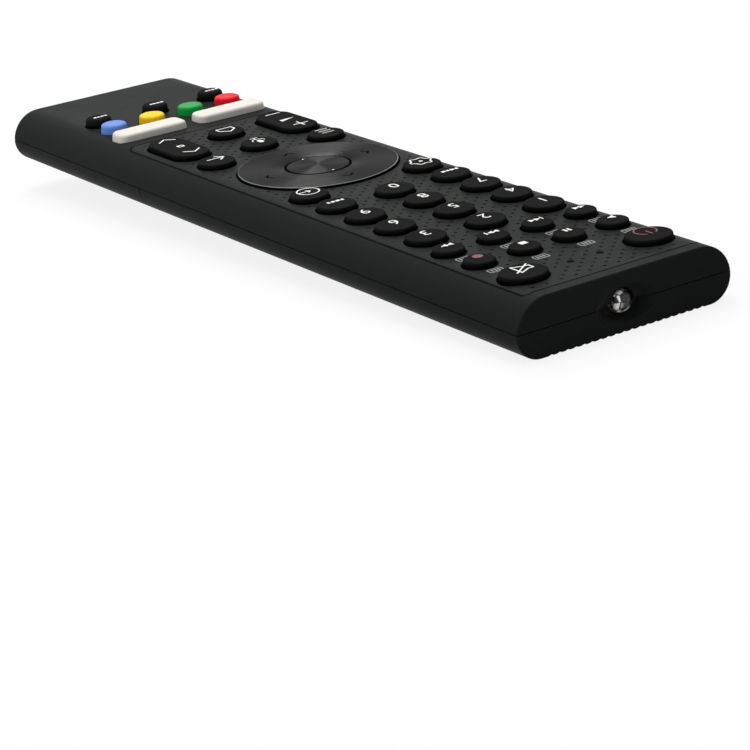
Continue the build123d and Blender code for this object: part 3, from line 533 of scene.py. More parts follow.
def stroke(points, width):
    """A line with round joints, as convex polygons."""
    shapes = []
    for (x0, y0), (x1, y1) in zip(points, points[1:]):
        length = math.hypot(x1 - x0, y1 - y0)
        nx, ny = -(y1 - y0) / length * width / 2, (x1 - x0) / length * width / 2
        shapes.append([(x0 - nx, y0 - ny), (x1 - nx, y1 - ny),
                       (x1 + nx, y1 + ny), (x0 + nx, y0 + ny)])
    for x, y in points:
        shapes += disc(x, y, width / 2, 12)
    return shapes


def arc(x, y, radius, start, end, width):
    points = []
    for i in range(ARC_STEPS + 1):
        angle = math.radians(start + (end - start) * i / ARC_STEPS)
        points.append(on_circle(x, y, radius, angle))
    return stroke(points, width)


def film(name, shapes, x, y, z, material, body):
    """A thin print at a place on the face: its polygons are united into one outline."""
    low, high = z - PRINT_SUNK, z + PRINT_PROUD
    piece = as_object(name, prisms(shapes[:1], x, y, low, high), material)
    if len(shapes) > 1:
        rest = as_object(name + "_rest", prisms(shapes[1:], x, y, low, high), material)
        boolean(piece, rest, "UNION")
    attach(piece, body)


print("drawing tools ready")

# %% [markdown]
# Strokes could draw the digits too, but a font has even curves at once. So each digit is a piece
# of text in Blender's built-in font, thinned a little and made a film. The prints sit below the
# middle of each cap, as on the real keypad.

# %% The digits
DIGIT_HEIGHT = 2.95
FONT_SIZE_PER_HEIGHT = 1.39
DIGIT_THINNING, DIGIT_HALF_FILM = 0.005, 0.016


def digit_film(digit, x, y, z, body):
    """A digit from the built-in font, made a mesh and put in place."""
    curve = bpy.data.curves.new("legend_digit_" + digit, "FONT")
    curve.body = digit
    curve.align_x = "CENTER"
    curve.size = DIGIT_HEIGHT * FONT_SIZE_PER_HEIGHT * MM
    curve.offset = -DIGIT_THINNING * MM
    curve.extrude = DIGIT_HALF_FILM * MM
    text = add_piece(curve.name, curve)
    mesh = evaluated_mesh(text)
    bpy.data.objects.remove(text)
    heights = [v.co.y for v in mesh.vertices]
    middle = (max(heights) + min(heights)) / 2
    mesh.transform(Matrix.Translation((x * MM, y * MM - middle, z * MM)))
    mesh.materials.clear()
    mesh.materials.append(legend_white)
    piece = add_piece("legend_digit_" + digit, mesh)
    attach(piece, body)


TOP_Z = FACE_Z + KEY_RISE
PRINT_X = -0.55
DIGIT_Y = -1.1
for digit in "0123456789":
    x, y = keys[f"digit_{digit}_key"][1:]
    digit_film(digit, x + PRINT_X, y + DIGIT_Y, TOP_Z, f"digit_{digit}_key_body")
print("digits printed")

# %% [markdown]
# The other legends are plain signs: triangles and bars for the player keys, a gear, an arrow, a
# house, a microphone. Each is a few shapes in millimetres round the middle of its own sign, so
# that one tool can print them all. A short row of bars keeps the place of a word.


# %% Signs on the caps
def triangle(x, y, size, way):
    return [[(x - way * size * 0.45, y - size / 2), (x + way * size * 0.5, y),
             (x - way * size * 0.45, y + size / 2)][::way]]


def block(x, y, width, height):
    return [[(x - width / 2, y - height / 2), (x + width / 2, y - height / 2),
             (x + width / 2, y + height / 2), (x - width / 2, y + height / 2)]]


def wordlike(widths, height, gap):
    """A row of small bars that keeps the place of a word."""
    shapes = []
    x = -(sum(widths) + gap * (len(widths) - 1)) / 2
    for width in widths:
        shapes += block(x + width / 2, 0, width, height)
        x += width + gap
    return shapes


gear = []
for i in range(48):
    angle = math.radians(7.5 * i)
    reach = 2.25 + 0.28 * math.cos(6 * angle)
    gear.append((reach * math.cos(angle), reach * math.sin(angle)))
signs = {
    "play_key": triangle(0, 0, 1.7, 1),
    "pause_key": block(-0.45, 0, 0.5, 1.5) + block(0.45, 0, 0.5, 1.5),
    "stop_key": block(0, 0, 1.55, 1.5),
    "rewind_key": triangle(-0.65, 0, 1.45, -1) + triangle(0.65, 0, 1.45, -1),
    "forward_key": triangle(-0.65, 0, 1.45, 1) + triangle(0.65, 0, 1.45, 1),
    "previous_key": block(-1.35, 0, 0.3, 1.4) + triangle(-0.4, 0, 1.4, -1)
                    + triangle(0.85, 0, 1.4, -1),
    "next_key": block(1.35, 0, 0.3, 1.4) + triangle(-0.85, 0, 1.4, 1) + triangle(0.4, 0, 1.4, 1),
    "mute_key": stroke([(-2.1, -0.8), (-2.1, 0.8), (-0.9, 0.8), (1.2, 2.0), (1.2, -1.9),
                        (-0.9, -0.8), (-2.1, -0.8)], 0.33)
                + stroke([(-2.2, -1.7), (2.1, 1.7)], 0.33),
    "settings_key": stroke(gear + gear[:1], 0.33) + disc(0, 0, 0.45),
    "source_key": arc(0, 0, 2.35, 0, 360, 0.3) + stroke([(2.3, 0), (-0.5, 0)], 0.3)
                  + stroke([(0.2, 0.7), (-0.5, 0), (0.2, -0.7)], 0.3),
    "menu_key": stroke([(-1.45, 1.5), (1.45, 1.5)], 0.3) + stroke([(-1.45, 0), (1.45, 0)], 0.3)
                + stroke([(-1.45, -1.5), (1.45, -1.5)], 0.3),
    "back_key": stroke([(2.0, 0), (-2.0, 0)], 0.36)
                + stroke([(-0.5, 1.5), (-2.0, 0), (-0.5, -1.5)], 0.36),
    "home_key": stroke([(-1.9, 0.2), (0, 1.9), (1.9, 0.2), (1.9, -1.6), (-1.9, -1.6),
                        (-1.9, 0.2)], 0.36),
    "voice_key": stroke([(0, 0.5), (0, 1.6)], 1.15) + arc(0, 0.4, 1.45, 180, 360, 0.26)
                 + stroke([(0, -1.05), (0, -2.1)], 0.26)
                 + stroke([(-0.8, -2.1), (0.8, -2.1)], 0.26),
    "info_key": wordlike((0.7, 0.9, 0.6, 0.9), 0.9, 0.3),
    "text_key": wordlike((0.6, 0.9, 0.8, 0.6), 0.9, 0.3),
    "tail_key_left": wordlike((0.7, 0.8, 0.5, 0.7), 0.8, 0.2),
    "tail_key_centre": wordlike((0.8, 0.7, 0.8, 0.6), 0.8, 0.2),
    "tail_key_right": wordlike((0.6, 0.8, 0.6, 0.8), 0.8, 0.2)}
rocker_signs = {
    "volume_rocker": stroke([(-1.75, 5.2), (1.75, 5.2)], 0.38) + stroke([(0, 3.5), (0, 6.9)], 0.38)
                     + [[(-1.9, -0.9), (1.9, -0.9), (1.9, 0.6)]]
                     + stroke([(-1.75, -7.1), (1.75, -7.1)], 0.38),
    "channel_rocker": stroke([(-2.0, 4.6), (0, 6.3), (2.0, 4.6)], 0.36)
                      + stroke([(-0.6, -0.8), (-0.6, 0.4), (0.6, 0.4), (0.6, -0.8),
                                (-0.6, -0.8)], 0.34)
                      + stroke([(-2.0, -6.3), (0, -8.0), (2.0, -6.3)], 0.36)}
print("signs drawn:", len(signs) + len(rocker_signs))

# %% [markdown]
# On the real keypad a soft pad stamps each sign in ink on its finished cap. Here every sign becomes
# a film on its own cap, a little below the middle as in the picture. The signs for power and record
# are red.

# %% Printing the signs
SIGN_Y, POWER_SIGN_Y = -1.3, -1.7
OTHER_SIGN_Y = {"home_key": -0.6, "tail_key_left": 0, "tail_key_centre": 0, "tail_key_right": 0}
for name, shapes in signs.items():
    shape, x, y = keys[name]
    z = TOP_Z if shape is not TAIL else FACE_Z + TAIL_RISE
    film("legend_" + name, shapes, x + PRINT_X, y + OTHER_SIGN_Y.get(name, SIGN_Y), z,
         legend_white, name + "_body")
x, y = keys["power_key"][1:]
power_sign = arc(0, 0, 2.2, 120, 420, 0.3) + stroke([(0, 0.2), (0, 2.3)], 0.3)
film("legend_power_key", power_sign, x + PRINT_X, y + POWER_SIGN_Y, TOP_Z, legend_red,
     "power_key_body")
x, y = keys["record_key"][1:]
film("legend_record_key", disc(0, 0, 1.05), x + PRINT_X, y + SIGN_Y, TOP_Z, legend_red,
     "record_key_body")
for name, shapes in rocker_signs.items():
    x, y = keys[name][1:]
    film("legend_" + name, shapes, x + PRINT_X, y, TOP_Z, legend_white, name + "_body")
print("signs printed:", len(signs) + len(rocker_signs) + 2)

# %% [markdown]
# The face panel is a thin plate, moulded by itself and bonded into a seat in the case. Four tools
# shape it here: its blank, the crown of the case, one opening for each key, and a keep-out round
# each opening, where the plate stays smooth. The blank is a prism with four rounded corners, and
# a little too high.

# %% The plate's blank
PANEL_FRONT_Y = 99.33
PANEL_REAR_Y = -51.13
PANEL_HALF = 19.98
PANEL_Z = FACE_Z - 0.8
FRONT_CORNER, REAR_CORNER, CORNER_STEPS = 1.3, 2.1, 8


def plate_outline():
    """The plate's outline with its four rounded corners."""
    points = []
    for centre_x, centre_y, radius, start in (
            (PANEL_HALF, PANEL_FRONT_Y, FRONT_CORNER, 0),
            (-PANEL_HALF, PANEL_FRONT_Y, FRONT_CORNER, 90),
            (-PANEL_HALF, PANEL_REAR_Y, REAR_CORNER, 180),
            (PANEL_HALF, PANEL_REAR_Y, REAR_CORNER, 270)):
        cx = centre_x - math.copysign(radius, centre_x)
        cy = centre_y - math.copysign(radius, centre_y)
        for i in range(CORNER_STEPS + 1):
            angle = math.radians(start + 90 * i / CORNER_STEPS)
            points.append(on_circle(cx, cy, radius, angle))
    return points


edge = plate_outline()
blank = as_object("plate_blank", prisms([edge], 0, 0, PANEL_Z, FACE_Z + 1), panel_black)
print("points on the plate's outline:", len(edge))

# %% [markdown]
# The case is not flat across: near its long edges the face rolls over in a soft curve, and the
# plate follows it. A bevel could round the plate's edges by themselves, but a solid with the
# case's own section, which the blank is cut to, gives both the same curve.

# %% The crown
CROWN_X = 17.608
CROWN_R = 7.0
CROWN_STEPS = 60
CUT_FLOOR, CUT_ROOF = PANEL_Z - 1, FACE_Z + 2


def face_height(x):
    """Height of the case's crowned surface over a place across it."""
    over = max(0.0, abs(x) - CROWN_X)
    return FACE_Z - CROWN_R + math.sqrt(CROWN_R ** 2 - over ** 2)


crown = bmesh.new()
section = [(-PANEL_HALF - 1, CUT_FLOOR)]
for i in range(CROWN_STEPS + 1):
    x = -PANEL_HALF - 1 + (2 * PANEL_HALF + 2) * i / CROWN_STEPS
    section.append((x, face_height(x)))
section.append((PANEL_HALF + 1, CUT_FLOOR))
near = [crown.verts.new((x * MM, (PANEL_REAR_Y - 1) * MM, z * MM)) for x, z in section]
far = [crown.verts.new((x * MM, (PANEL_FRONT_Y + 1) * MM, z * MM)) for x, z in section]
crown.faces.new(near[::-1])
crown.faces.new(far)
for i in range(len(section)):
    j = (i + 1) % len(section)
    crown.faces.new((near[i], near[j], far[j], far[i]))
bmesh.ops.recalc_face_normals(crown, faces=crown.faces)
crown = as_object("plate_crown", crown, panel_black)
print("the crown drops, at the plate's edge, by", round(FACE_Z - face_height(PANEL_HALF), 3), "mm")

# %% [markdown]
# Every key needs an opening a little larger than its cap, so that it moves freely, and the plate is
# smooth for a short way round it. Openings could be drawn one by one, but prisms from the caps' own
# outlines keep the gaps the same for all.

# %% Openings and keep-out
CAP_GAP, ROCKER_GAP, SMOOTH_GAP = 0.2, 0.35, 1.1
RING_HOLE, RING_SMOOTH_GAP = 17.55, 0.9
MIC_HOLE, MIC_SMOOTH = 0.76, 1.1
LABEL_Y, LABEL_SMOOTH = 5.1, (5.0, 4.2)
openings = bmesh.new()
keepout = bmesh.new()


def open_up(x, y, hole, smooth):
    """Adds an opening in the plate, and the smooth place round it, from two outlines."""
    prism(openings, hole, CUT_FLOOR, CUT_ROOF, x, y)
    prism(keepout, smooth, PANEL_Z, CUT_ROOF, x, y)


for name, (shape, x, y) in keys.items():
    gap = ROCKER_GAP if shape is ROCKER else CAP_GAP
    if y > PANEL_REAR_Y:
        open_up(x, y, outline(shape, gap), outline(shape, SMOOTH_GAP, 32))
ring_shape = ("round", RING_HOLE, RING_HOLE, 0)
open_up(0, NAV_Y, outline(ring_shape, 0, 160), outline(ring_shape, RING_SMOOTH_GAP, 64))
MIC_PLACES = ((-3.43, 90.8), (3.43, 90.8))
for x, y in MIC_PLACES:
    open_up(x, y, disc(0, 0, MIC_HOLE, 32)[0], disc(0, 0, MIC_SMOOTH, 24)[0])
LABELS = [(x, y + LABEL_Y) for y in media_rows for x in (-15.57, -5.3, 5.3, 15.57)]
for x, y in LABELS:
    prism(keepout, block(0, 0, *LABEL_SMOOTH)[0], PANEL_Z, CUT_ROOF, x, y)
openings = as_object("plate_openings", openings)
keepout = as_object("plate_keepout", keepout)
print("faces of the openings' cutter:", len(openings.data.polygons))

# %% [markdown]
# The plate has a staggered field of small pits, which fine pins in the mould leave. They could be
# modelled one by one, but their pitch and depth would then be fixed. A Geometry Nodes network
# makes them from a few inputs with names, which can be changed at any time.

# %% Inputs of the pits' network
pits = bpy.data.node_groups.new("pitted_plate", "GeometryNodeTree")
pits.is_modifier = True


def add_socket(name, kind, value=None, way="INPUT"):
    socket = pits.interface.new_socket(name, in_out=way, socket_type="NodeSocket" + kind)
    if value is not None:
        socket.default_value = value
    return socket.identifier


add_socket("Geometry", "Geometry")
add_socket("Geometry", "Geometry", way="OUTPUT")
inputs = {}
for name, kind, value in (
        ("Crown", "Object", None), ("Openings", "Object", None),
        ("Keep-out", "Object", None), ("Pitch across", "Float", 3.25 * MM),
        ("Pitch along", "Float", 1.59 * MM), ("Columns", "Int", 12),
        ("Rows", "Int", 93), ("Middle", "Float", 24.45 * MM),
        ("Face", "Float", FACE_Z * MM), ("Pit radius", "Float", 0.38 * MM),
        ("Pit depth", "Float", 0.11 * MM), ("Material", "Material", None)):
    inputs[name] = add_socket(name, kind, value)
print("inputs of the network:", ", ".join(inputs))

# %% [markdown]
# The network lays a grid of points and shifts every second row by half a pitch. Points near
# openings go, where a ray from a probe above the point meets the keep-out, and a small cutter
# stands on each of the rest. A Mesh Boolean takes all cutters from the plate in one step, so that
# every pit is a real hollow.

# %% The pits, in Geometry Nodes
PROBE_LIFT = 10 * MM


def add_node(kind, links=None, **settings):
    """Adds a node to the pits' network, and gives its outputs. A list links several wires."""
    made = pits.nodes.new(kind)
    for key, value in settings.items():
        setattr(made, key, value)
    for key, wires in (links or {}).items():
        for value in wires if isinstance(wires, list) else [wires]:
            if isinstance(value, bpy.types.NodeSocket):
                pits.links.new(value, made.inputs[key])
            else:
                made.inputs[key].default_value = value
    return made.outputs


def add_math(operation, first, second):
    return add_node("ShaderNodeMath", {0: first, 1: second}, operation=operation)[0]


given = add_node("NodeGroupInput")
crown_shape, opening_shape, keepout_shape = (
    add_node("GeometryNodeObjectInfo", {"Object": given[name]})["Geometry"]
    for name in ("Crown", "Openings", "Keep-out"))
columns = add_math("SUBTRACT", given["Columns"], 1)
rows = add_math("SUBTRACT", given["Rows"], 1)
grid = add_node("GeometryNodeMeshGrid", {
    "Size X": add_math("MULTIPLY", columns, given["Pitch across"]),
    "Size Y": add_math("MULTIPLY", rows, given["Pitch along"]),
    "Vertices X": given["Columns"], "Vertices Y": given["Rows"]})["Mesh"]
place = add_node("GeometryNodeInputPosition")[0]
along = add_node("ShaderNodeSeparateXYZ", {0: place})["Y"]
row = add_math("DIVIDE", along, given["Pitch along"])
odd = add_math("PINGPONG", add_math("ROUND", row, 0), 1.0)
half_pitch = add_math("MULTIPLY", given["Pitch across"], 0.5)
shift = add_math("MULTIPLY", add_math("SUBTRACT", odd, 0.5), half_pitch)
offset = add_node("ShaderNodeCombineXYZ",
                  {"X": shift, "Y": given["Middle"], "Z": given["Face"]})[0]
moved = add_node("GeometryNodeSetPosition", {"Geometry": grid, "Offset": offset})[0]
probe = add_node("ShaderNodeVectorMath", {0: place, 1: (0, 0, PROBE_LIFT)}, operation="ADD")[0]
cast = add_node("GeometryNodeRaycast", {
    "Target Geometry": keepout_shape, "Source Position": probe, "Ray Direction": (0, 0, -1),
    "Ray Length": 2 * PROBE_LIFT})
kept = add_node("GeometryNodeDeleteGeometry", {"Geometry": moved, "Selection": cast["Is Hit"]},
                domain="POINT")[0]
cutter = add_node("GeometryNodeMeshCylinder", {
    "Vertices": 10, "Side Segments": 1, "Radius": given["Pit radius"],
    "Depth": add_math("MULTIPLY", given["Pit depth"], 2.0)})["Mesh"]
cutters = add_node("GeometryNodeInstanceOnPoints", {"Points": kept, "Instance": cutter})[0]
cutters = add_node("GeometryNodeRealizeInstances", {"Geometry": cutters})[0]
crowned = add_node("GeometryNodeMeshBoolean", {"Mesh 2": [given["Geometry"], crown_shape]},
                   operation="INTERSECT", solver="MANIFOLD")["Mesh"]
pitted = add_node("GeometryNodeMeshBoolean",
                  {"Mesh 1": crowned, "Mesh 2": [opening_shape, cutters]},
                  operation="DIFFERENCE", solver="MANIFOLD")["Mesh"]
realized = add_node("GeometryNodeRealizeInstances", {"Geometry": pitted})[0]
painted = add_node("GeometryNodeSetMaterial",
                   {"Geometry": realized, "Material": given["Material"]})[0]
add_node("NodeGroupOutput", {"Geometry": painted})
print("nodes in the network:", len(pits.nodes))

# %% [markdown]
# The network works as a modifier on the blank, and what it gives is kept as a plain mesh, so that
# nothing has to be worked out again. The tools are removed then: a mould doesn't leave the factory
# with its part either.

# %% The pitted plate
modifier = blank.modifiers.new("pits", "NODES")
modifier.node_group = pits
for name, value in (("Crown", crown), ("Openings", openings), ("Keep-out", keepout),
                    ("Material", panel_black)):
    modifier[inputs[name]] = value
panel_mesh = evaluated_mesh(blank)
face_plate = add_piece("pitted_face_plate", panel_mesh)
for tool in (blank, crown, openings, keepout):
    bpy.data.objects.remove(tool)
crease(face_plate, 20)
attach(face_plate, "housing")
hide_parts("face_panel")
print("pitted plate triangles:", sum(len(p.vertices) - 2 for p in panel_mesh.polygons))

# %% [markdown]
# The plate is bonded in, and a bead of near black fills the groove round it almost to the face.
# The bead is painted shade: it makes the dark line there. A flat section of four corners, carried
# round the plate's outline at the height of the crown, gives a bead of even width.

# %% The bead in the groove, painted shade
GROOVE_SHADE_WIDTH = 0.44
BEAD_STEP = 1.2
BEAD_SECTION = ((0.01, 0.3), (0.01, 0.07), (GROOVE_SHADE_WIDTH, 0.07), (GROOVE_SHADE_WIDTH, 0.3))
bead = bmesh.new()
path = []
for (x0, y0), (x1, y1) in zip(edge, edge[1:] + edge[:1]):
    steps = max(1, round(math.hypot(x1 - x0, y1 - y0) / BEAD_STEP))
    path += [(x0 + (x1 - x0) * i / steps, y0 + (y1 - y0) * i / steps) for i in range(steps)]
loops = []
for i, (x, y) in enumerate(path):
    (xa, ya), (xb, yb) = path[i - 1], path[(i + 1) % len(path)]
    length = math.hypot(xb - xa, yb - ya)
    nx, ny = (yb - ya) / length, -(xb - xa) / length
    loops.append([bead.verts.new(((x + nx * out) * MM, (y + ny * out) * MM,
                                  (face_height(x + nx * out) - drop) * MM))
                  for out, drop in BEAD_SECTION])
for first, second in zip(loops, loops[1:] + loops[:1]):
    for i in range(4):
        j = (i + 1) % 4
        bead.faces.new((first[i], first[j], second[j], second[i]))
bmesh.ops.recalc_face_normals(bead, faces=bead.faces)
groove_shade = as_object("glue_bead", bead, glue_black)
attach(groove_shade, "housing")
print("glue bead stations:", len(path))

# %% [markdown]
# Small printed boxes stand beside the player keys. On the real face they hold tiny words, and
# here each holds a few bars instead. They are films like the legends, but lie on the plate.

# %% Printed boxes on the face
box = stroke([(-1.3, -0.9), (1.3, -0.9), (1.5, -0.65), (1.5, 0.65), (1.3, 0.9), (-1.3, 0.9),
              (-1.5, 0.65), (-1.5, -0.65), (-1.3, -0.9)], 0.24)
for x in (-0.7, 0, 0.7):
    box += block(x, 0, 0.36, 1.0)
for number, (x, y) in enumerate(LABELS):
    film(f"label_box_{number}", box, x, y, FACE_Z, legend_grey, "housing")
print("boxes:", len(LABELS))

# %% [markdown]
# A lathe or a round mould makes each piece whose section is the same all round. One tool does so
# here: it carries a profile of radii and heights round an upright axis. A Screw modifier could do
# it too, but this way the mesh is plain from the start.


# %% The turning tool
def turned(name, profile, material, centre=(0.0, NAV_Y), count=192):
    """A closed piece from a profile of (radius, height), spun round an upright axis."""
    form = bmesh.new()
    rings = []
    for radius, height in profile:
        places = disc(*centre, radius, count)[0] if radius else [centre]
        rings.append([form.verts.new((px * MM, py * MM, height * MM)) for px, py in places])
    loops = list(zip(rings, rings[1:]))
    if profile[0][0] and profile[-1][0]:
        loops.append((rings[-1], rings[0]))
    for low, high in loops:
        for i in range(count):
            j = (i + 1) % count
            corners = [low[i % len(low)], low[j % len(low)],
                       high[j % len(high)], high[i % len(high)]]
            form.faces.new(list(dict.fromkeys(corners)))
    bmesh.ops.recalc_face_normals(form, faces=form.faces)
    for face in form.faces:
        face.smooth = True
    return crease(as_object(name, form, material))


print("turning tool ready")

# %% [markdown]
# The ring is a black moulded skirt with a thin polished rim and a dished disc of spun metal on it.
# The four small direction marks are stamped into the real disc. A print could show them, but a
# Boolean sinks them as the stamp does.

# %% The spun ring
RIM_Z = FACE_Z + 0.56
skirt_profile = [(7.15, 15.4), (16.6, 15.4), (16.6, 14.7), (17.3, 14.7), (17.3, RIM_Z - 0.26),
                 (17.2, RIM_Z - 0.16), (7.15, RIM_Z - 0.4)]
# The black caps' painted shade reaches all heights under the face, so this skirt is near black.
skirt = turned("ring_skirt", skirt_profile, key_black)
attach(skirt, "nav_ring_body")
rim_profile = [(16.95, RIM_Z - 0.2), (17.12, RIM_Z - 0.2), (17.12, RIM_Z - 0.1),
               (17.04, RIM_Z - 0.01), (16.95, RIM_Z - 0.01)]
rim = turned("ring_rim", rim_profile, rim_metal)
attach(rim, "nav_ring_body")
ring_profile = [(7.25, 15.9), (17.0, RIM_Z - 0.3), (17.0, RIM_Z), (14.0, RIM_Z - 0.04),
                (11.0, RIM_Z - 0.08), (7.4, RIM_Z - 0.12), (7.25, RIM_Z - 0.2)]
nav = turned("spun_ring", ring_profile, ring_metal)
chevron = [(11.7, -1.25), (12.7, 0), (11.7, 1.25)]
marks = []
for turn in range(4):
    heading = math.radians(90 * turn)
    cos, sin = math.cos(heading), math.sin(heading)
    marks += stroke([(r * cos - t * sin, r * sin + t * cos) for r, t in chevron], 0.5)
punch = as_object("spun_ring_marks", prisms(marks, 0, NAV_Y, RIM_Z - 0.3, RIM_Z + 1))
boolean(nav, punch, "DIFFERENCE")
crease(nav)
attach(nav, "nav_ring_body")
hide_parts("nav_ring")
print("ring faces:", len(nav.data.polygons))

# %% [markdown]
# The button in the middle of the ring is a black moulded body under a domed foil of the same metal,
# with two small white pips. A press domes the real foil, and a shallow parabola stands for its
# curve.

# %% The button
BUTTON_Z = FACE_Z + 0.4
body_profile = [(0, 13.75), (2.2, 13.75), (2.2, 14.55), (7.6, 14.55), (7.6, 14.9), (6.9, 14.9),
                (6.9, BUTTON_Z - 0.14), (6.8, BUTTON_Z - 0.04), (0, BUTTON_Z - 0.04)]
# The same painted shade makes the button's body near black.
button_body = turned("button_body", body_profile, key_black)
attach(button_body, "ok_button_body")
FOIL_EDGE, FOIL_R, FOIL_DOME, DOME_STEPS = 0.08, 6.56, 0.17, 8
button_profile = [(0, BUTTON_Z - 0.2), (6.64, BUTTON_Z - 0.2), (6.64, BUTTON_Z + 0.02),
                  (FOIL_R, BUTTON_Z + FOIL_EDGE)]
for i in range(1, DOME_STEPS + 1):
    radius = FOIL_R * (1 - i / DOME_STEPS)
    rise = FOIL_DOME * (1 - (radius / FOIL_R) ** 2)
    button_profile.append((radius, BUTTON_Z + FOIL_EDGE + rise))
pips = [disc(0, NAV_Y + side * 6.15, 0.24)[0] for side in (-1, 1)]
film("button_pips", pips, 0, 0, BUTTON_Z + 0.1, legend_white, "ok_button_body")
centre_button = turned("spun_button", button_profile, ring_metal)
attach(centre_button, "ok_button_body")
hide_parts("ok_button")
print("button faces:", len(centre_button.data.polygons))

# %% [markdown]
# The real lamp is a clear moulding round a small bright chip holder, and its domed end bends the
# image of the holder into light and dark facets. Here the clear body is one closed shell, and a
# rough bead inside it stands in for the bent image: its flats catch the light, and its material
# adds painted cells of light and dark, a painted reflection of the holder.


# %% The lamp
LAMP_Z = FACE_Z - 6.1
LAMP_R, LAMP_FLANGE_R, LAMP_STEPS = 2.5, 2.9, 12
TIP_Y = HALF_LENGTH - 0.1
BASE_Y, SHELF_Y, CENTRE_Y = TIP_Y - 8.6, TIP_Y - 7.6, TIP_Y - LAMP_R
dome = [(0, BASE_Y), (LAMP_FLANGE_R, BASE_Y), (LAMP_FLANGE_R, SHELF_Y), (LAMP_R, SHELF_Y),
        (LAMP_R, CENTRE_Y)]
for i in range(1, LAMP_STEPS):
    angle = math.radians(90 * i / LAMP_STEPS)
    dome.append(on_circle(0, CENTRE_Y, LAMP_R, angle))
dome.append((0, TIP_Y))
lamp = turned("clear_lamp", dome, lamp_clear, centre=(0.0, 0.0), count=64)
lamp.data.transform(Matrix.Rotation(math.radians(-90), 4, "X"))
lamp.data.transform(Matrix.Translation((0, 0, LAMP_Z * MM)))
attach(lamp, "housing")
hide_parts("ir_lamp")
BEAD_R, BEAD_LIFT, LEAST_REACH = 2.4, 0.05, 0.84
facet_form = bmesh.new()
bmesh.ops.create_icosphere(facet_form, subdivisions=2, radius=BEAD_R * MM)
wobble = random.Random(7)
for vert in facet_form.verts:
    vert.co *= wobble.uniform(LEAST_REACH, 1.0)
    vert.co += Vector((0, CENTRE_Y * MM, (LAMP_Z + BEAD_LIFT) * MM))
facets_piece = as_object("lamp_facets", facet_form, lamp_cup)
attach(facets_piece, "housing")
print("lamp made, its bead has", len(facets_piece.data.polygons), "flats")

# %% [markdown]
# Behind each microphone hole lies a black dust gauze, a woven disc glued from behind. It sits just
# under the face, and its colour, far darker than cloth, is painted shade, so the holes read as dark
# dots. At this size threads of their own would not show, so a thin dished disc is enough, with a
# fine weave in its material.

# %% Microphone gauze
gauze = Finish("mic_gauze")
threads = gauze.node("ShaderNodeTexWave", {"Vector": gauze.coordinates(), "Scale": 4000.0,
                                           "Distortion": 0.5},
                     wave_type="BANDS", bands_direction="DIAGONAL")
# Painted shade: the gauze's colour is nearly black, darker than real cloth.
gauze_painted_shade = gauze.ramp(threads, [(0.2, (0.0008, 0.0008, 0.0008)),
                                  (0.8, (0.002, 0.002, 0.002))])
mic_gauze = gauze.surface(base_color=gauze_painted_shade, roughness=threads * 0.1 + 0.85,
                          normal=gauze.bump(threads, 0.00001), specular_ior_level=0.05)
dish = [(0, FACE_Z - 0.14), (0.4, FACE_Z - 0.12), (0.75, FACE_Z - 0.04), (0.75, FACE_Z - 0.25),
        (0, FACE_Z - 0.3)]
for side, (x, y) in zip(("left", "right"), MIC_PLACES):
    gauze_piece = turned("mic_gauze_" + side, dish, mic_gauze, centre=(x, y), count=32)
    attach(gauze_piece, "housing")
print("gauze discs:", len(MIC_PLACES))

# %% [markdown]
# The floor is a pale sheet just under the remote. The battery hump lifts the tail, so the remote
# rests on the hump and on its front edge, and the floor leans by that small angle instead of the
# remote. The camera, the metal and the clear lamp see white paper with a contact shadow on it, and
# all other rays meet a grey sheet, so that the black sides stay dark. From below the sheet is
# clear, so that the back shows.

# %% The floor
FLOOR_SIZE = 12.0
FLOOR_GAP = 0.02
PAPER_GLOW, GREY_SHEET = 0.85, (0.43, 0.43, 0.43, 1)
floor_form = bmesh.new()
lean = BACK_Z / (HALF_LENGTH - HUMP_FRONT_Y)
for px, py in block(0, 0, FLOOR_SIZE, FLOOR_SIZE)[0]:
    floor_form.verts.new((px, py, (py - HUMP_FRONT_Y * MM) * lean - FLOOR_GAP * MM))
floor_form.faces.new(floor_form.verts[:])


def white_rays(finish):
    """1 for the rays that see the white background, 0 for the rest."""
    camera, mirror, glass = (finish.node("ShaderNodeLightPath", output=ray) for ray in (
        "Is Camera Ray", "Is Glossy Ray", "Is Transmission Ray"))
    return camera + mirror + glass


paper = Finish("floor_paper")
camera_sees = paper.node("ShaderNodeLightPath", output="Is Camera Ray")
fibres = paper.noise(8.0, 3.0)
bright_paper = paper.ramp(fibres, [(0.3, (0.86, 0.86, 0.86)), (0.7, (0.9, 0.9, 0.9))])
paper_tint = paper.blend(camera_sees, GREY_SHEET, bright_paper)
sheet = paper.node("ShaderNodeBsdfPrincipled", {"Base Color": paper_tint, "Roughness": 0.9})
glow = paper.node("ShaderNodeEmission", {"Color": (1, 1, 1, 1), "Strength": 1.0})
seen = paper.node("ShaderNodeMixShader", {0: white_rays(paper) * PAPER_GLOW, 1: sheet, 2: glow})
underneath = paper.node("ShaderNodeNewGeometry", output="Backfacing")
see_through = paper.node("ShaderNodeBsdfTransparent", {"Color": (1, 1, 1, 1)})
seen = paper.node("ShaderNodeMixShader", {0: underneath * camera_sees, 1: seen, 2: see_through})
paper.node("ShaderNodeOutputMaterial", [seen])
floor = as_object("floor", floor_form, paper.material)
print("the floor leans by", round(math.degrees(math.atan(lean)), 2), "degrees")

# %% [markdown]
# Three large soft panels light the remote from overhead, from behind and from its side, as a
# photographer of products would set them. The room is white to the same rays as the floor. All
# other rays see it dimmer, and brighter overhead than at the horizon. A picture of a real studio
# could light it too, but these few values are easier to match to the photograph.


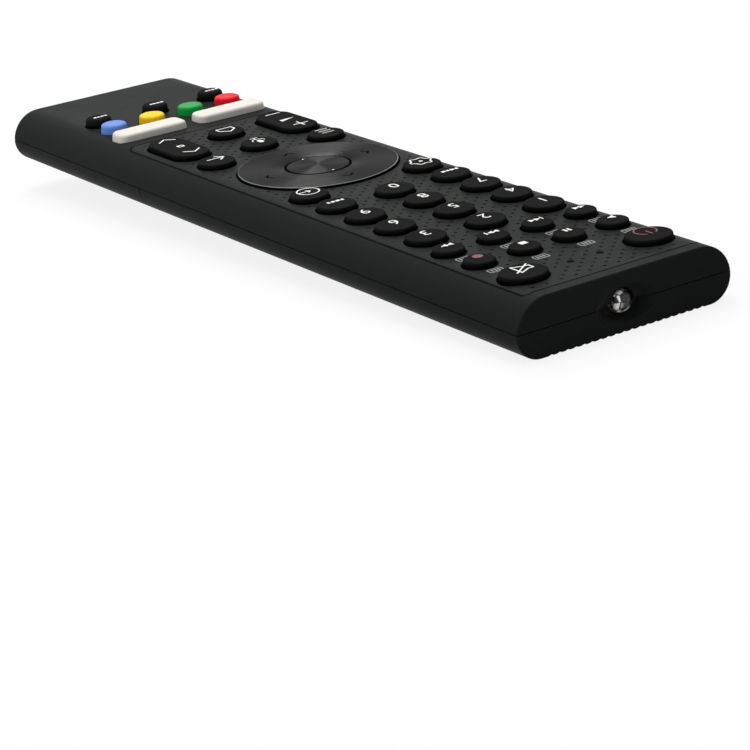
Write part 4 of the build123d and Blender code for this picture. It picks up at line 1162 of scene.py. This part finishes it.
# %% Light and world
def lamp_panel(name, place, width, height, watts):
    """A soft rectangular light that faces the remote."""
    light = bpy.data.lights.new(name, "AREA")
    light.shape = "RECTANGLE"
    light.size = width
    light.size_y = height
    light.energy = watts
    holder = add_piece(name, light)
    holder.location = place
    holder.rotation_euler = (-Vector(place)).to_track_quat("-Z", "Y").to_euler()


lamp_panel("soft_overhead", (0.15, -0.25, 1.38), 0.75, 0.75, 9.6)
lamp_panel("soft_back", (-0.37, -0.75, 1.0), 0.4, 0.3, 4.5)
lamp_panel("soft_side", (1.2, -0.1, 0.6), 0.9, 0.5, 3)

HORIZON_LIGHT, OVERHEAD_GAIN = 0.12, 0.48
world = bpy.data.worlds.new("studio")
bpy.context.scene.world = world
studio = Finish("studio", world)
sky = studio.node("ShaderNodeTexCoord", output="Generated")
rise = studio.node("ShaderNodeSeparateXYZ", [sky], output="Z")
strength = rise.math("ABSOLUTE", rise) * OVERHEAD_GAIN + HORIZON_LIGHT
lit = studio.node("ShaderNodeBackground", {"Color": (0.99, 1.0, 0.99, 1), "Strength": strength})
white = studio.node("ShaderNodeBackground", {"Color": (1, 1, 1, 1), "Strength": 1.0})
room = studio.node("ShaderNodeMixShader", {0: white_rays(studio), 1: lit, 2: white})
studio.node("ShaderNodeOutputWorld", [room])

# %% [markdown]
# The camera stands where the photographer stood: nearly sixty degrees round from the keypad's
# side, twenty degrees up, with a long lens and a slight roll. These numbers come from matching
# the places of the keys in the picture with their places on the drawing.

# %% Camera
AZIMUTH, ELEVATION, ROLL = (math.radians(a) for a in (58.859, 20.107, -5.642))
TARGET = Vector((38.735, 76.413, 0.0))
DISTANCE = 480.04
LENS_PIXELS = 2621.48
IMAGE_PIXELS = 750
direction = Vector((math.cos(ELEVATION) * math.cos(AZIMUTH),
                    math.cos(ELEVATION) * math.sin(AZIMUTH), math.sin(ELEVATION)))
right = (-direction).cross(Vector((0, 0, 1))).normalized()
up = right.cross(-direction)
rolled_right = math.cos(ROLL) * right + math.sin(ROLL) * up
rolled_up = -math.sin(ROLL) * right + math.cos(ROLL) * up
lens = bpy.data.cameras.new("photographer")
lens.sensor_width = 36.0
lens.lens = LENS_PIXELS * lens.sensor_width / IMAGE_PIXELS
lens.clip_start = 0.01
camera = add_piece("photographer", lens)
camera.matrix_world = Matrix.Translation((TARGET + direction * DISTANCE) * MM) @ Matrix(
    (rolled_right, rolled_up, direction)).transposed().to_4x4()
bpy.context.scene.camera = camera
bpy.context.scene.view_settings.view_transform = "Standard"
print("camera at", tuple(round(v, 3) for v in camera.location), "lens", round(lens.lens, 1))
